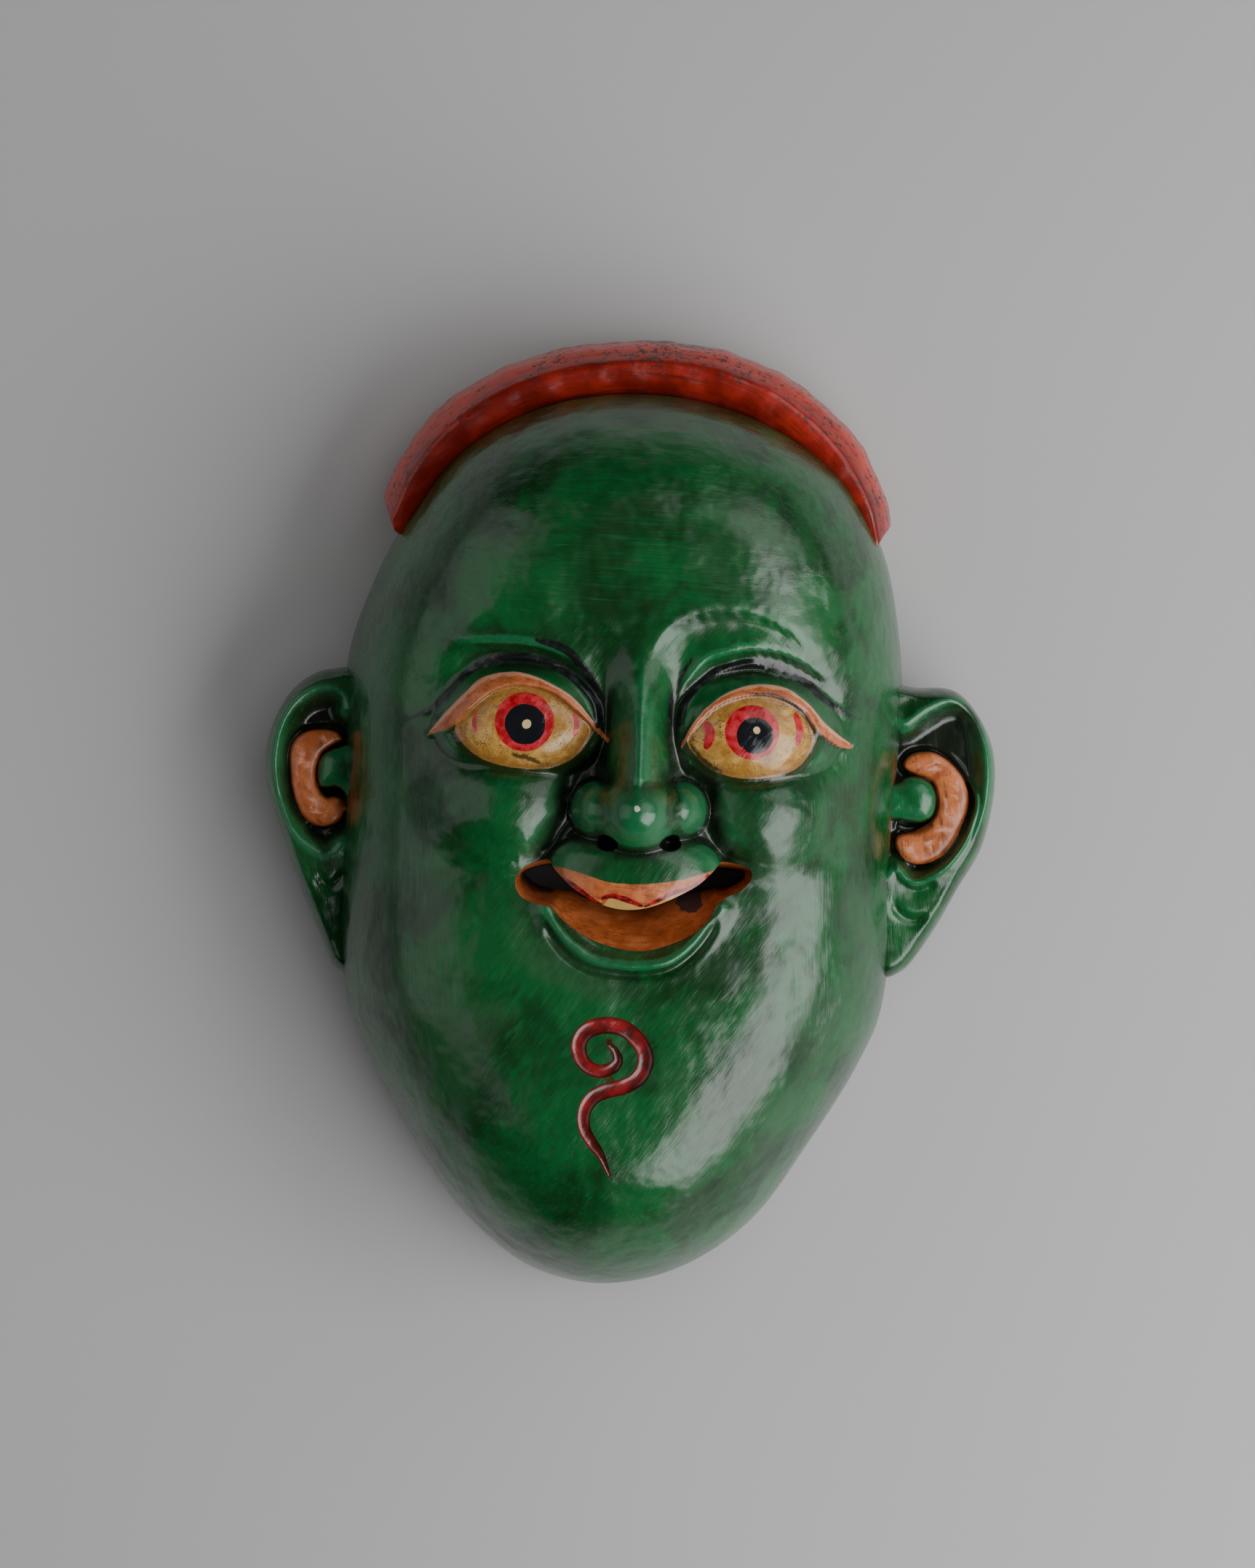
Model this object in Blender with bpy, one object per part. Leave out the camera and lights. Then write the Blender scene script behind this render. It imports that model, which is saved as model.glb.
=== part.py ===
"""A carved wooden wall mask: a laughing face with round eyes, jug ears and a brim over the forehead.

The mask lies face up on its flat back rim. Z points out of the face, Y towards the brim and
X to the viewer's right. The origin is under the middle of the outline, on the back plane.
"""
import math

import bmesh
import bpy
import numpy as np
from mathutils import Vector
from mathutils.bvhtree import BVHTree

# Driving sizes, in metres
MASK_HEIGHT = 0.303
MASK_WIDTH = 0.2335
MASK_DEPTH = 0.1175
RIM_WIDTH = 0.0115
RIM_SLOPE = 0.0015
FACE_THICKNESS = 0.0125
SIDE_HEIGHT = 0.022
LID_WIDTH = 0.0036
LID_PROUD = 0.0011
CREASE_WIDTH = 0.0020
CORD_ROOT = 0.004
GROOVE_WIDTH = 0.0040
GROOVE_DEPTH = 0.0013
NOSTRIL_DIAMETER = 0.0075
NOSTRIL_DEPTH = 0.008
MOUTH_SLOT_HEIGHT = 0.012
MOUTH_SLOT_SHARE = 0.9
BRIM_WIDTH = 0.0215
BRIM_HEIGHT = 0.048
EAR_TOP = 0.042
EAR_UNDERSIDE = 0.012

# The face is drawn in millimetres for a mask of these sizes, and stretched to the driving sizes
DRAWN_HEIGHT = 301.8
DRAWN_WIDTH = 233.0
DRAWN_DEPTH = 117.5
ACROSS = MASK_WIDTH / DRAWN_WIDTH
UP = MASK_HEIGHT / DRAWN_HEIGHT
OUT = MASK_DEPTH / DRAWN_DEPTH
MIDDLE = (0.0, -5.0)
MIDLINE = 2.6
FACE_PLANE = 84.0
EDGE_TURN = 60.0
OVERCUT = 0.004
SLIVER = 0.00005
CORD_WELD = 0.00002

# Facets of the larger forms
HEAD_SEGMENTS = 84
HEAD_RINGS = 33
FACE_RINGS = 21
FACE_REACH = 64.0
HOLLOW_SEGMENTS = 36
HOLLOW_RINGS = 9
EAR_SEGMENTS = 26
EAR_RINGS = 7
CORD_POINTS = 20
SPIRAL_POINTS = 40
BRIM_STEPS = 28
SHARP_ANGLE = math.radians(40)

HEAD_OUTLINE = [
    (84.5, -5), (86.5, 30), (84.5, 60), (78, 87), (62, 112), (34, 128.5), (3, 134.5), (-28, 130.5),
    (-55, 116), (-72, 94), (-84, 70), (-91.5, 44), (-91.5, 5), (-91.8, -38), (-86.5, -69), (-72.1, -96.5),
    (-54.3, -124.1), (-34, -143), (-14.2, -150.6), (5.1, -150.3), (25, -143), (43.5, -128.5),
    (58.5, -107.1), (75.2, -79), (83.2, -55),
]
EAR_OUTLINES = {
    "left": [
        (-84, 38), (-97, 42.6), (-108.7, 35.4), (-115.5, 21.2), (-115.8, 6), (-109.5, -13.6),
        (-103.7, -29), (-97.8, -42.5), (-92.3, -53), (-84, -50), (-80, -5),
    ],
    "right": [
        (78, 38), (92, 41.5), (104.3, 40), (113.8, 27.2), (116.4, 12), (113, -7.8),
        (105.3, -22.5), (97.5, -37), (88, -49.5), (79, -47), (76, -5),
    ],
}
FRONT_PROFILE = [
    (-152, 84), (-135, 88), (-110, 90), (-85, 89.5), (-60, 88), (-30, 87), (0, 87), (30, 88), (55, 93),
    (85, 96), (110, 94), (135, 86),
]

# Lines of the two eyes, each drawn from the temple to the nose
EYES = {
    "left": {
        "side": -1,
        "centre": (-33.6, 25.5),
        "lid": [(-62, 22.4), (-54.5, 26.8), (-49.0, 33.0), (-42.8, 38.2), (-35.3, 40.0), (-26, 37.8),
                (-18.1, 33.0), (-12.5, 27.2)],
        "ball": [(-54.2, 24.6), (-48.4, 31.2), (-42.1, 36.0), (-34.8, 37.8), (-25.5, 36.0), (-18.1, 31.2),
                 (-12.3, 25.8), (-17.6, 16.0), (-24.0, 12.9), (-30.4, 12.2), (-38.7, 12.9), (-46.1, 15.2),
                 (-51.3, 19.2)],
        "crease": [(-68, 27), (-60.3, 31.4), (-53.2, 39.4), (-46.9, 44.1), (-37.7, 46.5), (-29.5, 46.0),
                   (-21.1, 42.5), (-15.5, 38.1), (-11.4, 33.4)],
        "brow top": [(-53.5, 54.5), (-42.7, 60.0), (-34.5, 61.9), (-26.2, 62.1), (-13.3, 59.7), (-5.8, 54.4),
                     (-1.3, 47.5), (0.3, 35.0), (0.2, 20)],
        "brow foot": [(-53.5, 50.5), (-43.4, 51.8), (-33.3, 51.6), (-24.0, 49.4), (-16.6, 45.5),
                      (-11.0, 38.5), (-8.6, 30.0), (-9.5, 22.0)],
    },
    "right": {
        "side": 1,
        "centre": (37.0, 24.5),
        "lid": [(69, 21.8), (62.5, 24.0), (57.4, 28.2), (53.2, 33.2), (46.1, 37.8), (37, 38.4), (28.4, 35.6),
                (22.4, 31.0), (17.2, 24.0)],
        "ball": [(56.4, 24.4), (52.7, 31.8), (45.2, 35.7), (36.0, 36.3), (27.8, 33.7), (22.4, 29.5),
                 (17.4, 22.4), (20.5, 17.4), (25.6, 13.4), (33.0, 11.1), (42.2, 11.4), (49.5, 13.6),
                 (54.0, 17.8)],
        "crease": [(69.5, 31.0), (64.6, 32.8), (59.0, 36.3), (52.5, 41.7), (45.0, 45.2), (37.6, 46.6),
                   (30.3, 45.2), (23.9, 42.3), (18.9, 37.8), (16.2, 33.8)],
        "brow top": [(58.5, 47.5), (54.9, 50.2), (49.2, 55.8), (41.8, 60.2), (32.5, 62.7), (23.4, 62.5),
                     (15.2, 59.9), (8.9, 54.7), (5.2, 47.5), (4.2, 38.0), (3.6, 20)],
        "brow foot": [(58.5, 45.5), (55.9, 46.8), (49.4, 49.8), (43.8, 51.5), (35.6, 51.6), (27.4, 49.7),
                      (21.9, 47.3), (17.6, 42.2), (14.6, 36.6), (13.2, 30.0), (14.2, 22.0)],
    },
}
CHEEKS = [(-39.5, 1.0), (44.5, 0.6)]
NOSE_WINGS = [(-9.0, 0.2), (14.8, 0.8)]
NOSTRILS = [(-6.4, -9.4), (12.6, -9.0)]
NOSE_FOLDS = {
    -1: [(-15.5, 9), (-17.9, 0), (-21.5, -6.4), (-25.1, -12.3), (-28.5, -15.5), (-33.5, -16.5)],
    1: [(20.6, 9), (21.8, 0), (24.7, -5.9), (27.9, -10.9), (32.0, -13.6), (38.0, -15.0)],
}
UPPER_LIP = [(-23.5, -17.3), (-17.9, -22.8), (-12.1, -26.7), (-6.4, -29.1), (-0.7, -30.1), (5.0, -29.6),
             (10.6, -27.8), (16.2, -25.1), (21.9, -21.8), (26.9, -17.1)]
MOUTH_SIDES = [(29.2, -14.2), (34.5, -15.0), (38.6, -17.0), (39.0, -20.4), (35.7, -24.4), (30.4, -26.6),
               (27.9, -28.6), (26.2, -32.6), (22.3, -37.3), (16.7, -41.4), (10.0, -44.2), (3.7, -45.0),
               (-3.2, -44.2), (-10.1, -42.1), (-15.8, -38.8), (-20.6, -34.4), (-23.6, -30.4), (-28.6, -30.0),
               (-32.7, -29.1), (-35.1, -25.4), (-34.7, -20.6), (-30.6, -16.6), (-24.9, -14.6)]
LOWER_LIP = [(-25.0, -30.6), (-22.2, -36.6), (-16.4, -42.4), (-10.8, -45.8), (-4.6, -47.4), (3.4, -48.0),
             (10.8, -47.0), (16.9, -44.2), (22.6, -39.2), (26.6, -33.6), (28.8, -29.2)]
LIP_CREASE = [(-25.6, -31.6), (-23.3, -38.6), (-17.4, -45.2), (-11.6, -48.5), (-5.9, -49.8), (2.6, -50.4),
              (11.3, -49.3), (16.9, -46.6), (22.5, -41.4), (26.9, -34.9), (29.2, -29.6)]
SPIRAL = [(-4.4, -71.8), (-2.5, -73.8), (-1.6, -76.8), (-3.6, -79.2), (-7.5, -80.1), (-11.2, -78.4),
          (-13.3, -75.3), (-13.6, -71.7), (-11.9, -68.4), (-8.7, -66.5), (-4.3, -66.0), (0.1, -66.9),
          (3.8, -69.6), (6.1, -72.8), (7.0, -76.3), (6.1, -80.0), (3.7, -82.8), (0.2, -84.7),
          (-3.4, -85.6), (-7.4, -87.1), (-10.1, -89.6), (-11.6, -93.3), (-11.3, -97.7), (-9.0, -102.0),
          (-6.1, -105.9), (-3.1, -112.3)]
BRIM_LINE = [(-74, 92.8), (-68.5, 104.2), (-59, 115.7), (-46, 125.9), (-30, 133.3), (-12, 137.4), (6, 138.3),
             (24, 136.1), (40, 129.9), (53, 120.9), (64, 109.2), (71.5, 96.7), (74, 88.2)]
# The brim's section: shares of its width across, and of its height up
BRIM_SECTION = [(0.55, 0.0), (0.58, 0.60), (0.47, 0.82), (0.14, 1.0), (-0.16, 0.98), (-0.42, 0.90),
                (-0.42, 0.0)]
BRIM_END_SIZE = 0.7


def smooth(low, high, value):
    """Rises from 0 to 1 between low and high, level at both ends."""
    t = np.clip((value - low) / (high - low), 0.0, 1.0)
    return t * t * (3.0 - 2.0 * t)


def smooth_share(value):
    """Steps that shorten towards the edge, where the face turns back."""
    return np.sin(np.clip(value, 0, 1) * math.pi / 2) ** 0.9


def bell(distance, width):
    """A rounded ridge of height 1, falling off with distance from its line."""
    return np.exp(-(distance / width) ** 2)


def blend(first, second, radius):
    """The higher of two surfaces, their meeting filled with a round of the given size."""
    overlap = np.clip(radius - np.abs(first - second), 0.0, None) / radius
    return np.maximum(first, second) + overlap * overlap * radius / 4


def dome(x, y, centre, reach, foot, crown):
    """Half an ellipsoid from foot up to crown, sinking gently outside its outline."""
    r2 = ((x - centre[0]) / reach[0]) ** 2 + ((y - centre[1]) / reach[1]) ** 2
    inside = foot + (crown - foot) * np.sqrt(np.clip(1 - r2, 0, 1))
    return np.where(r2 < 1, inside, foot - 6 * (np.sqrt(r2) - 1))


def curve_through(points, count, closed=False):
    """Points spaced evenly along a smooth curve through the drawn ones."""
    p = np.array(points, float)
    if closed:
        p = np.vstack([p[-1], p, p[0], p[1]])
    else:
        p = np.vstack([2 * p[0] - p[1], p, 2 * p[-1] - p[-2]])
    t = np.linspace(0, 1, 16, endpoint=False)[:, None]
    spans = []
    for a, b, c, d in zip(p[:-3], p[1:-2], p[2:-1], p[3:]):
        bend = (2 * a - 5 * b + 4 * c - d) * t ** 2 + (3 * b - a - 3 * c + d) * t ** 3
        spans.append(0.5 * (2 * b + (c - a) * t + bend))
    dense = np.vstack(spans + [p[-2][None]])
    steps = np.linalg.norm(np.diff(dense, axis=0), axis=1)
    run = np.concatenate([[0.0], np.cumsum(steps)])
    at = np.linspace(0, run[-1], count, endpoint=not closed)
    return np.stack([np.interp(at, run, dense[:, k]) for k in range(p.shape[1])], 1)


def nearest(x, y, line):
    """Distance to a line, its side (1 on the left of its direction) and the share of its length."""
    start, leg = line[:-1], np.diff(line, axis=0)
    square = (leg ** 2).sum(1)
    length = np.sqrt(square)
    before = np.concatenate([[0.0], np.cumsum(length)[:-1]])
    px, py = x[:, None] - start[:, 0], y[:, None] - start[:, 1]
    t = np.clip((px * leg[:, 0] + py * leg[:, 1]) / square, 0, 1)
    gap = (px - t * leg[:, 0]) ** 2 + (py - t * leg[:, 1]) ** 2
    best = gap.argmin(1)
    row = np.arange(len(x))
    side = np.sign(leg[best, 0] * py[row, best] - leg[best, 1] * px[row, best])
    share = (before[best] + t[row, best] * length[best]) / length.sum()
    return np.sqrt(gap[row, best]), side, share


def depth_inside(x, y, outline):
    """Distance to a closed outline, positive inside it and negative outside."""
    loop = np.vstack([outline, outline[:1]])
    distance = nearest(x, y, loop)[0]
    odd = np.zeros(len(x), bool)
    for (x0, y0), (x1, y1) in zip(loop[:-1], loop[1:]):
        if y0 != y1:
            crosses = (y > y0) != (y > y1)
            odd ^= crosses & (x < (x1 - x0) * (y - y0) / (y1 - y0) + x0)
    return np.where(odd, distance, -distance)


def radius_towards(outline, centre, angle):
    """How far a closed outline lies from a point inside it, in each direction."""
    p = curve_through(outline, 360, closed=True) - centre
    around = np.unwrap(np.arctan2(p[:, 1], p[:, 0]))
    far = np.hypot(p[:, 0], p[:, 1])
    if around[-1] < around[0]:
        around, far = around[::-1], far[::-1]
    around = np.concatenate([around - 2 * math.pi, around, around + 2 * math.pi])
    return np.interp(angle, around, np.tile(far, 3))


def plain_front(x, y):
    """The front of the face before carving: a long profile that falls a little to each side."""
    line = curve_through(FRONT_PROFILE, 120)
    return np.interp(y, line[:, 0], line[:, 1]) - 5.0 * (np.abs(x - 1) / 85.0) ** 2.4


def carve_eye(x, y, z, eye):
    """Adds one brow, a leaf dished between two ridges, its socket, and the eyeball under its lid."""
    side, centre = eye["side"], eye["centre"]

    def towards_eye(name):
        distance, turn, share = nearest(x, y, curve_through(eye[name], 50))
        return side * turn * distance, share

    outward = side * (x - centre[0])
    under_top, _ = towards_eye("brow top")
    under_foot, _ = towards_eye("brow foot")
    leaf_width = np.clip(under_top, 0, None) + np.clip(-under_foot, 0, None)
    across = np.where(under_foot > 0, 1.0, np.clip(under_top, 0, None) / (leaf_width + 1e-6))
    dish = -2.9 * 4 * across * (1 - across) * smooth(0, 6, leaf_width)
    ridge = np.where(under_top < 0, 1.5 * bell(under_top, 7.0), 1.5 + dish - 1.6 * across)
    z = z + ridge * smooth(27, 12, outward) * smooth(-16, 6, y - centre[1])
    socket = np.where(under_foot > 0, -4.6 * smooth(0, 4.5, under_foot), 0)
    z = z + socket * smooth(35, 20, outward) * smooth(-20, -2, y - centre[1])
    z = blend(z, dome(x, y, (centre[0], centre[1] + 0.6), (28.5, 19.8), 81.0, 97.3), 2.5)
    opening = depth_inside(x, y, curve_through(eye["ball"], 60, closed=True))
    return z - 1.4 * smooth(-0.3, 1.4, opening) + 0.9 * smooth(1.4, 5.0, opening)


def nose(x, y):
    """The nose: a ridge that drops on both sides, a round tip and two wings."""
    crest = np.interp(y, [-14, -4, 2, 10, 20, 32, 44, 54], [70, 100, 113.5, 112.5, 107.5, 102.0, 97.5, 92])
    half = np.interp(y, [-10, 8, 22, 34, 46, 56], [11, 9.0, 8.0, 7.0, 6.0, 7.5])
    fall = np.interp(y, [-10, 8, 22, 34, 46, 56], [14, 18, 15, 11, 4.0, 0.5])
    aside = np.abs(x - MIDLINE) / half
    shape = crest - fall * np.where(aside < 1, 0.55 * aside + 0.45 * aside ** 2, 1 + 1.6 * (aside - 1))
    shape = blend(shape, dome(x, y, (MIDLINE, 0.0), (14.6, 11.8), 88, DRAWN_DEPTH), 5.0)
    for wing in NOSE_WINGS:
        shape = blend(shape, dome(x, y, wing, (10.2, 10.4), 86, 106.5), 4.0)
    return shape


def carved_front(x, y):
    """Height of the carved face over the back plane, before its edges turn back."""
    z = plain_front(x, y)
    for cheek in CHEEKS:
        z = blend(z, dome(x, y, cheek, (24.0, 19.0), 82.0, 95.0), 7.0)
        past_rim = np.hypot((x - cheek[0]) / 24, (y - cheek[1]) / 19) - 1.02
        z = z - 1.8 * bell(past_rim * 20, 3.4) * smooth(2, -10, y)
    for eye in EYES.values():
        z = carve_eye(x, y, z, eye)
    for side, fold in NOSE_FOLDS.items():
        distance, turn, share = nearest(x, y, curve_through(fold, 40))
        depth = np.interp(share, [0, 0.2, 0.8, 1], [1.5, 3.6, 3.6, 0.5])
        z = z - depth * bell(distance, np.where(turn * side > 0, 4.2, 2.2))
    lip = (np.abs(x - MIDLINE) / 27.5) ** 2.6
    lip = lip + (np.clip(y + 19, 0, None) / 15.0) ** 2.2 + (np.clip(-19 - y, 0, None) / 17.5) ** 2.4
    mound = FACE_PLANE + np.where(lip < 1, 17.5 * np.sqrt(np.clip(1 - lip, 0, 1)), -5 * (lip - 1))
    z = blend(z, mound, 2.2)
    distance, _, _ = nearest(x, y, curve_through(LOWER_LIP, 50))
    z = z + 3.6 * bell(distance, 3.8)
    distance, _, share = nearest(x, y, curve_through(LIP_CREASE, 50))
    z = z - 2.2 * bell(distance, 1.8) * smooth(0, 0.12, share) * smooth(1, 0.88, share)
    return blend(z, nose(x, y), 2.0)


def head_front(x, y):
    """The carved face with its edges rounded down to the top of the straight side."""
    outline = curve_through(HEAD_OUTLINE, 200, closed=True)
    depth = np.clip(depth_inside(x, y, outline), 0, None)
    turn = np.clip(1 - np.clip(1 - depth / EDGE_TURN, 0, 1) ** 2.7, 0, 1) ** (1 / 2.1)
    side_top = SIDE_HEIGHT / OUT
    return side_top + (carved_front(x, y) - side_top) * turn


def to_metres(x, y, z):
    """Stretches drawn millimetres to the driving sizes."""
    return np.stack([x * ACROSS, y * UP, z * OUT], -1)


def new_object(name, mesh, material, collection):
    """Puts a mesh in the scene with its material."""
    thing = bpy.data.objects.new(name, mesh)
    if material:
        mesh.materials.append(material)
    collection.objects.link(thing)
    return thing


def shaped_sphere(name, segments, rings, shape, material, collection):
    """A sphere primitive whose points are moved by shape(angle, fraction), 0 in front to 1 behind."""
    mesh = bpy.data.meshes.new(name)
    ball = bmesh.new()
    bmesh.ops.create_uvsphere(ball, u_segments=segments, v_segments=rings, radius=1.0)
    ball.to_mesh(mesh)
    ball.free()
    count = len(mesh.vertices)
    points = np.empty(count * 3)
    mesh.vertices.foreach_get("co", points)
    points = points.reshape(count, 3)
    angle = np.arctan2(points[:, 1], points[:, 0])
    fraction = np.arccos(np.clip(points[:, 2], -1, 1)) / math.pi
    mesh.vertices.foreach_set("co", shape(angle, fraction).ravel())
    mesh.update()
    mesh.shade_smooth()
    mesh.set_sharp_from_angle(angle=SHARP_ANGLE)
    return new_object(name, mesh, material, collection)


def head_shape(angle, fraction):
    """Even rings over the face, wider ones out to the edge, two down the straight side, the rest behind."""
    ring = fraction * HEAD_RINGS
    edge = HEAD_RINGS - 4
    onward = smooth_share((ring - FACE_RINGS) / (edge - FACE_RINGS))
    behind = np.clip(ring - edge, 0, 4)
    far = radius_towards(HEAD_OUTLINE, MIDDLE, angle)
    face_reach = FACE_REACH * ring / FACE_RINGS
    reach = np.where(ring <= FACE_RINGS, face_reach, FACE_REACH + (far - FACE_REACH) * onward)
    reach = reach * np.interp(behind, [0, 1, 2, 3, 4], [1.0, 1.0, 0.985, 0.6, 0.0])
    x, y = MIDDLE[0] + reach * np.cos(angle), MIDDLE[1] + reach * np.sin(angle)
    side_top = SIDE_HEIGHT / OUT
    side = np.interp(behind, [0, 1, 2], [side_top, side_top / 2, 0.0])
    z = np.where(ring > edge - 0.5, side, head_front(x, y))
    return to_metres(x, y, z)


def hollow_shape(angle, fraction):
    """The hollow behind the face: the outline less the rim, as deep as the face's thickness leaves."""
    side_start = 0.72
    spread = np.clip(fraction / side_start, 0, 1)
    share = np.sin(spread * math.pi / 2)
    behind = np.clip((fraction - side_start) / (1 - side_start), 0, 1)
    far = radius_towards(HEAD_OUTLINE, MIDDLE, angle)
    wide = far * np.hypot(np.cos(angle) * ACROSS, np.sin(angle) * UP)
    inner = far * (wide - RIM_WIDTH - RIM_SLOPE) / wide
    reach = inner * share * np.interp(behind, [0, 0.5, 1], [1, 1, 0])
    x, y = MIDDLE[0] + reach * np.cos(angle), MIDDLE[1] + reach * np.sin(angle)
    deepest = FACE_PLANE - FACE_THICKNESS / OUT
    arch = np.clip(1 - share ** 4.0, 0, 1) ** 0.45
    z = np.where(behind > 0, -OVERCUT / OUT, deepest * arch - 2.0 * (1 - arch))
    z = np.where((behind == 0) & (share > 0.999), -OVERCUT / OUT, z)
    return to_metres(x, y, z)


def ear_shape(side):
    """An ear: a slab over its outline, with a rounded rim, a sunk shell and a lobe before the opening."""
    outline = EAR_OUTLINES[side]
    mirror = -1 if side == "left" else 1
    centre = (-98.0 if side == "left" else 96.0, 8.0)
    root = -91.0 if side == "left" else 83.5
    top, under = EAR_TOP / OUT, EAR_UNDERSIDE / OUT

    def shape(angle, fraction):
        front = fraction <= 0.5
        share = np.sin(np.clip(fraction / 0.5, 0, 1) * math.pi / 2)
        share = np.where(front, share, np.sin(np.clip((1 - fraction) / 0.5, 0, 1) * math.pi / 2))
        far = radius_towards(outline, centre, angle) * share
        x, y = centre[0] + far * np.cos(angle), centre[1] + far * np.sin(angle)
        edge = np.sqrt(np.clip(1 - share ** 5, 0, 1))
        shell = np.hypot((x - centre[0] - mirror * 0.5) / 11.5, (y - 6.0) / 21.0)
        lobe = np.hypot((x - root - mirror * 5.5) / 6.5, (y - 10.0) / 8.0)
        rise = top + 2.5 - 6.5 * smooth(1.15, 0.7, shell) + 6.0 * smooth(1.1, 0.6, lobe)
        low_end = smooth(-8, -46, y)
        rise = rise - 8.0 * low_end
        middle = (top + under) / 2 - 3.0 * low_end
        z = np.where(front, middle + (rise - middle) * edge, middle - (middle - under) * edge)
        return to_metres(x, y, z)

    return shape


def rooted(mesh, centreline, depth):
    """Stretches the underside of a cord down into the wood, so that no gap is left below it."""
    points = np.empty(len(mesh.vertices) * 3)
    mesh.vertices.foreach_get("co", points)
    points = points.reshape(-1, 3)
    centre = np.array(centreline)
    close = ((points[:, None, :] - centre) ** 2).sum(2).argmin(1)
    points[:, 2] -= np.where(points[:, 2] < centre[close, 2], depth, 0.0)
    mesh.vertices.foreach_set("co", points.ravel())
    mesh.update()


def tube(name, centreline, radii, material, collection, root=0.0):
    """A round cord of varying thickness along a line, made a mesh with its ends closed."""
    drawn = bpy.data.curves.new(name, "CURVE")
    drawn.dimensions = "3D"
    drawn.bevel_depth = 1.0
    drawn.bevel_resolution = 1
    drawn.use_fill_caps = True
    spline = drawn.splines.new("POLY")
    spline.points.add(len(centreline) - 1)
    for point, place, radius in zip(spline.points, centreline, radii):
        point.co = (*place, 1.0)
        point.radius = radius
    guide = bpy.data.objects.new(name, drawn)
    collection.objects.link(guide)
    bpy.context.view_layer.update()
    evaluated = guide.evaluated_get(bpy.context.evaluated_depsgraph_get())
    mesh = bpy.data.meshes.new_from_object(evaluated)
    bpy.data.objects.remove(guide)
    work = bmesh.new()
    work.from_mesh(mesh)
    bmesh.ops.remove_doubles(work, verts=work.verts, dist=CORD_WELD)
    bmesh.ops.recalc_face_normals(work, faces=work.faces)
    work.to_mesh(mesh)
    work.free()
    if root:
        rooted(mesh, centreline, root)
    mesh.materials.clear()
    return new_object(name, mesh, material, collection)


def line_on_face(face, points, count, above):
    """Drops a drawn line onto the carved face from in front, and lifts it by a height, in metres."""
    line = curve_through(points, count)
    places = []
    for x, y, start in to_metres(line[:, 0], line[:, 1], np.full(count, DRAWN_DEPTH * 1.2)):
        hit = face.ray_cast(Vector((x, y, start)), Vector((0, 0, -1)))[0]
        places.append((x, y, hit.z + above))
    return places


def mouth_cutter(material, collection):
    """Lofts the mouth from its outline in the face back to a lens-shaped slot behind the upper lip."""
    upper = curve_through(UPPER_LIP, 22)
    sides = curve_through([UPPER_LIP[-1]] + MOUTH_SIDES + [UPPER_LIP[0]], 48)
    outline = np.vstack([upper, sides[1:-1]])
    for _ in range(2):
        outline = 0.25 * np.roll(outline, 1, 0) + 0.5 * outline + 0.25 * np.roll(outline, -1, 0)
    count = len(outline)
    right, left = outline[:, 0].argmax(), outline[:, 0].argmin()
    lower = (np.arange(count) > right) & (np.arange(count) < left)
    aside = (outline[:, 0] - MIDLINE) * MOUTH_SLOT_SHARE
    slot_half = MOUTH_SLOT_HEIGHT / UP / 2 * np.sqrt(np.clip(1 - np.abs(aside / 34.0) ** 3, 0.02, 1))
    smile = -23.2 + 0.0045 * aside ** 2
    slot = np.column_stack([MIDLINE - 0.5 + aside, smile + np.where(lower, -slot_half, slot_half)])
    between = 0.55 * outline + 0.45 * slot
    sections = [(outline, 125.0), (outline, 93.0), (between, 82.0), (slot, 67.0), (slot, 40.0)]
    points = np.vstack([to_metres(s[:, 0], s[:, 1], np.full(count, z)) for s, z in sections])
    mesh = bpy.data.meshes.new("mouth cutter")
    work = bmesh.new()
    rows = [[work.verts.new(p) for p in points[k * count:(k + 1) * count]] for k in range(len(sections))]
    for above, below in zip(rows[:-1], rows[1:]):
        for k in range(count):
            n = (k + 1) % count
            work.faces.new((above[k], above[n], below[n], below[k]))
    work.faces.new(rows[0])
    work.faces.new(rows[-1])
    bmesh.ops.recalc_face_normals(work, faces=work.faces)
    bmesh.ops.triangulate(work, faces=[f for f in work.faces if len(f.verts) > 4])
    work.to_mesh(mesh)
    work.free()
    return new_object("mouth cutter", mesh, material, collection)


def brim(material, collection):
    """The brim: one section with a sloping outer facet, a ridge and a cove, carried round the forehead."""
    line = curve_through(BRIM_LINE, BRIM_STEPS)
    leg = np.gradient(line, axis=0)
    leg /= np.linalg.norm(leg, axis=1, keepdims=True)
    outward = np.stack([-leg[:, 1], leg[:, 0]], 1)
    share = np.linspace(0, 1, len(line))
    size = BRIM_END_SIZE + (1 - BRIM_END_SIZE) * smooth(0, 0.2, share) * smooth(1, 0.8, share)
    mesh = bpy.data.meshes.new("brim")
    work = bmesh.new()
    rows = []
    for place, out, scale in zip(line, outward, size):
        row = []
        for across, up in BRIM_SECTION:
            reach = across * scale * BRIM_WIDTH
            height = up * BRIM_HEIGHT * (0.9 + 0.1 * scale)
            x, y = place[0] * ACROSS + out[0] * reach, place[1] * UP + out[1] * reach
            row.append(work.verts.new((x, y, height)))
        rows.append(row)
    count = len(BRIM_SECTION)
    for first, second in zip(rows[:-1], rows[1:]):
        for k in range(count):
            n = (k + 1) % count
            work.faces.new((first[k], first[n], second[n], second[k]))
    work.faces.new(rows[0])
    work.faces.new(rows[-1])
    bmesh.ops.recalc_face_normals(work, faces=work.faces)
    work.to_mesh(mesh)
    work.free()
    return new_object("brim", mesh, material, collection)


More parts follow.
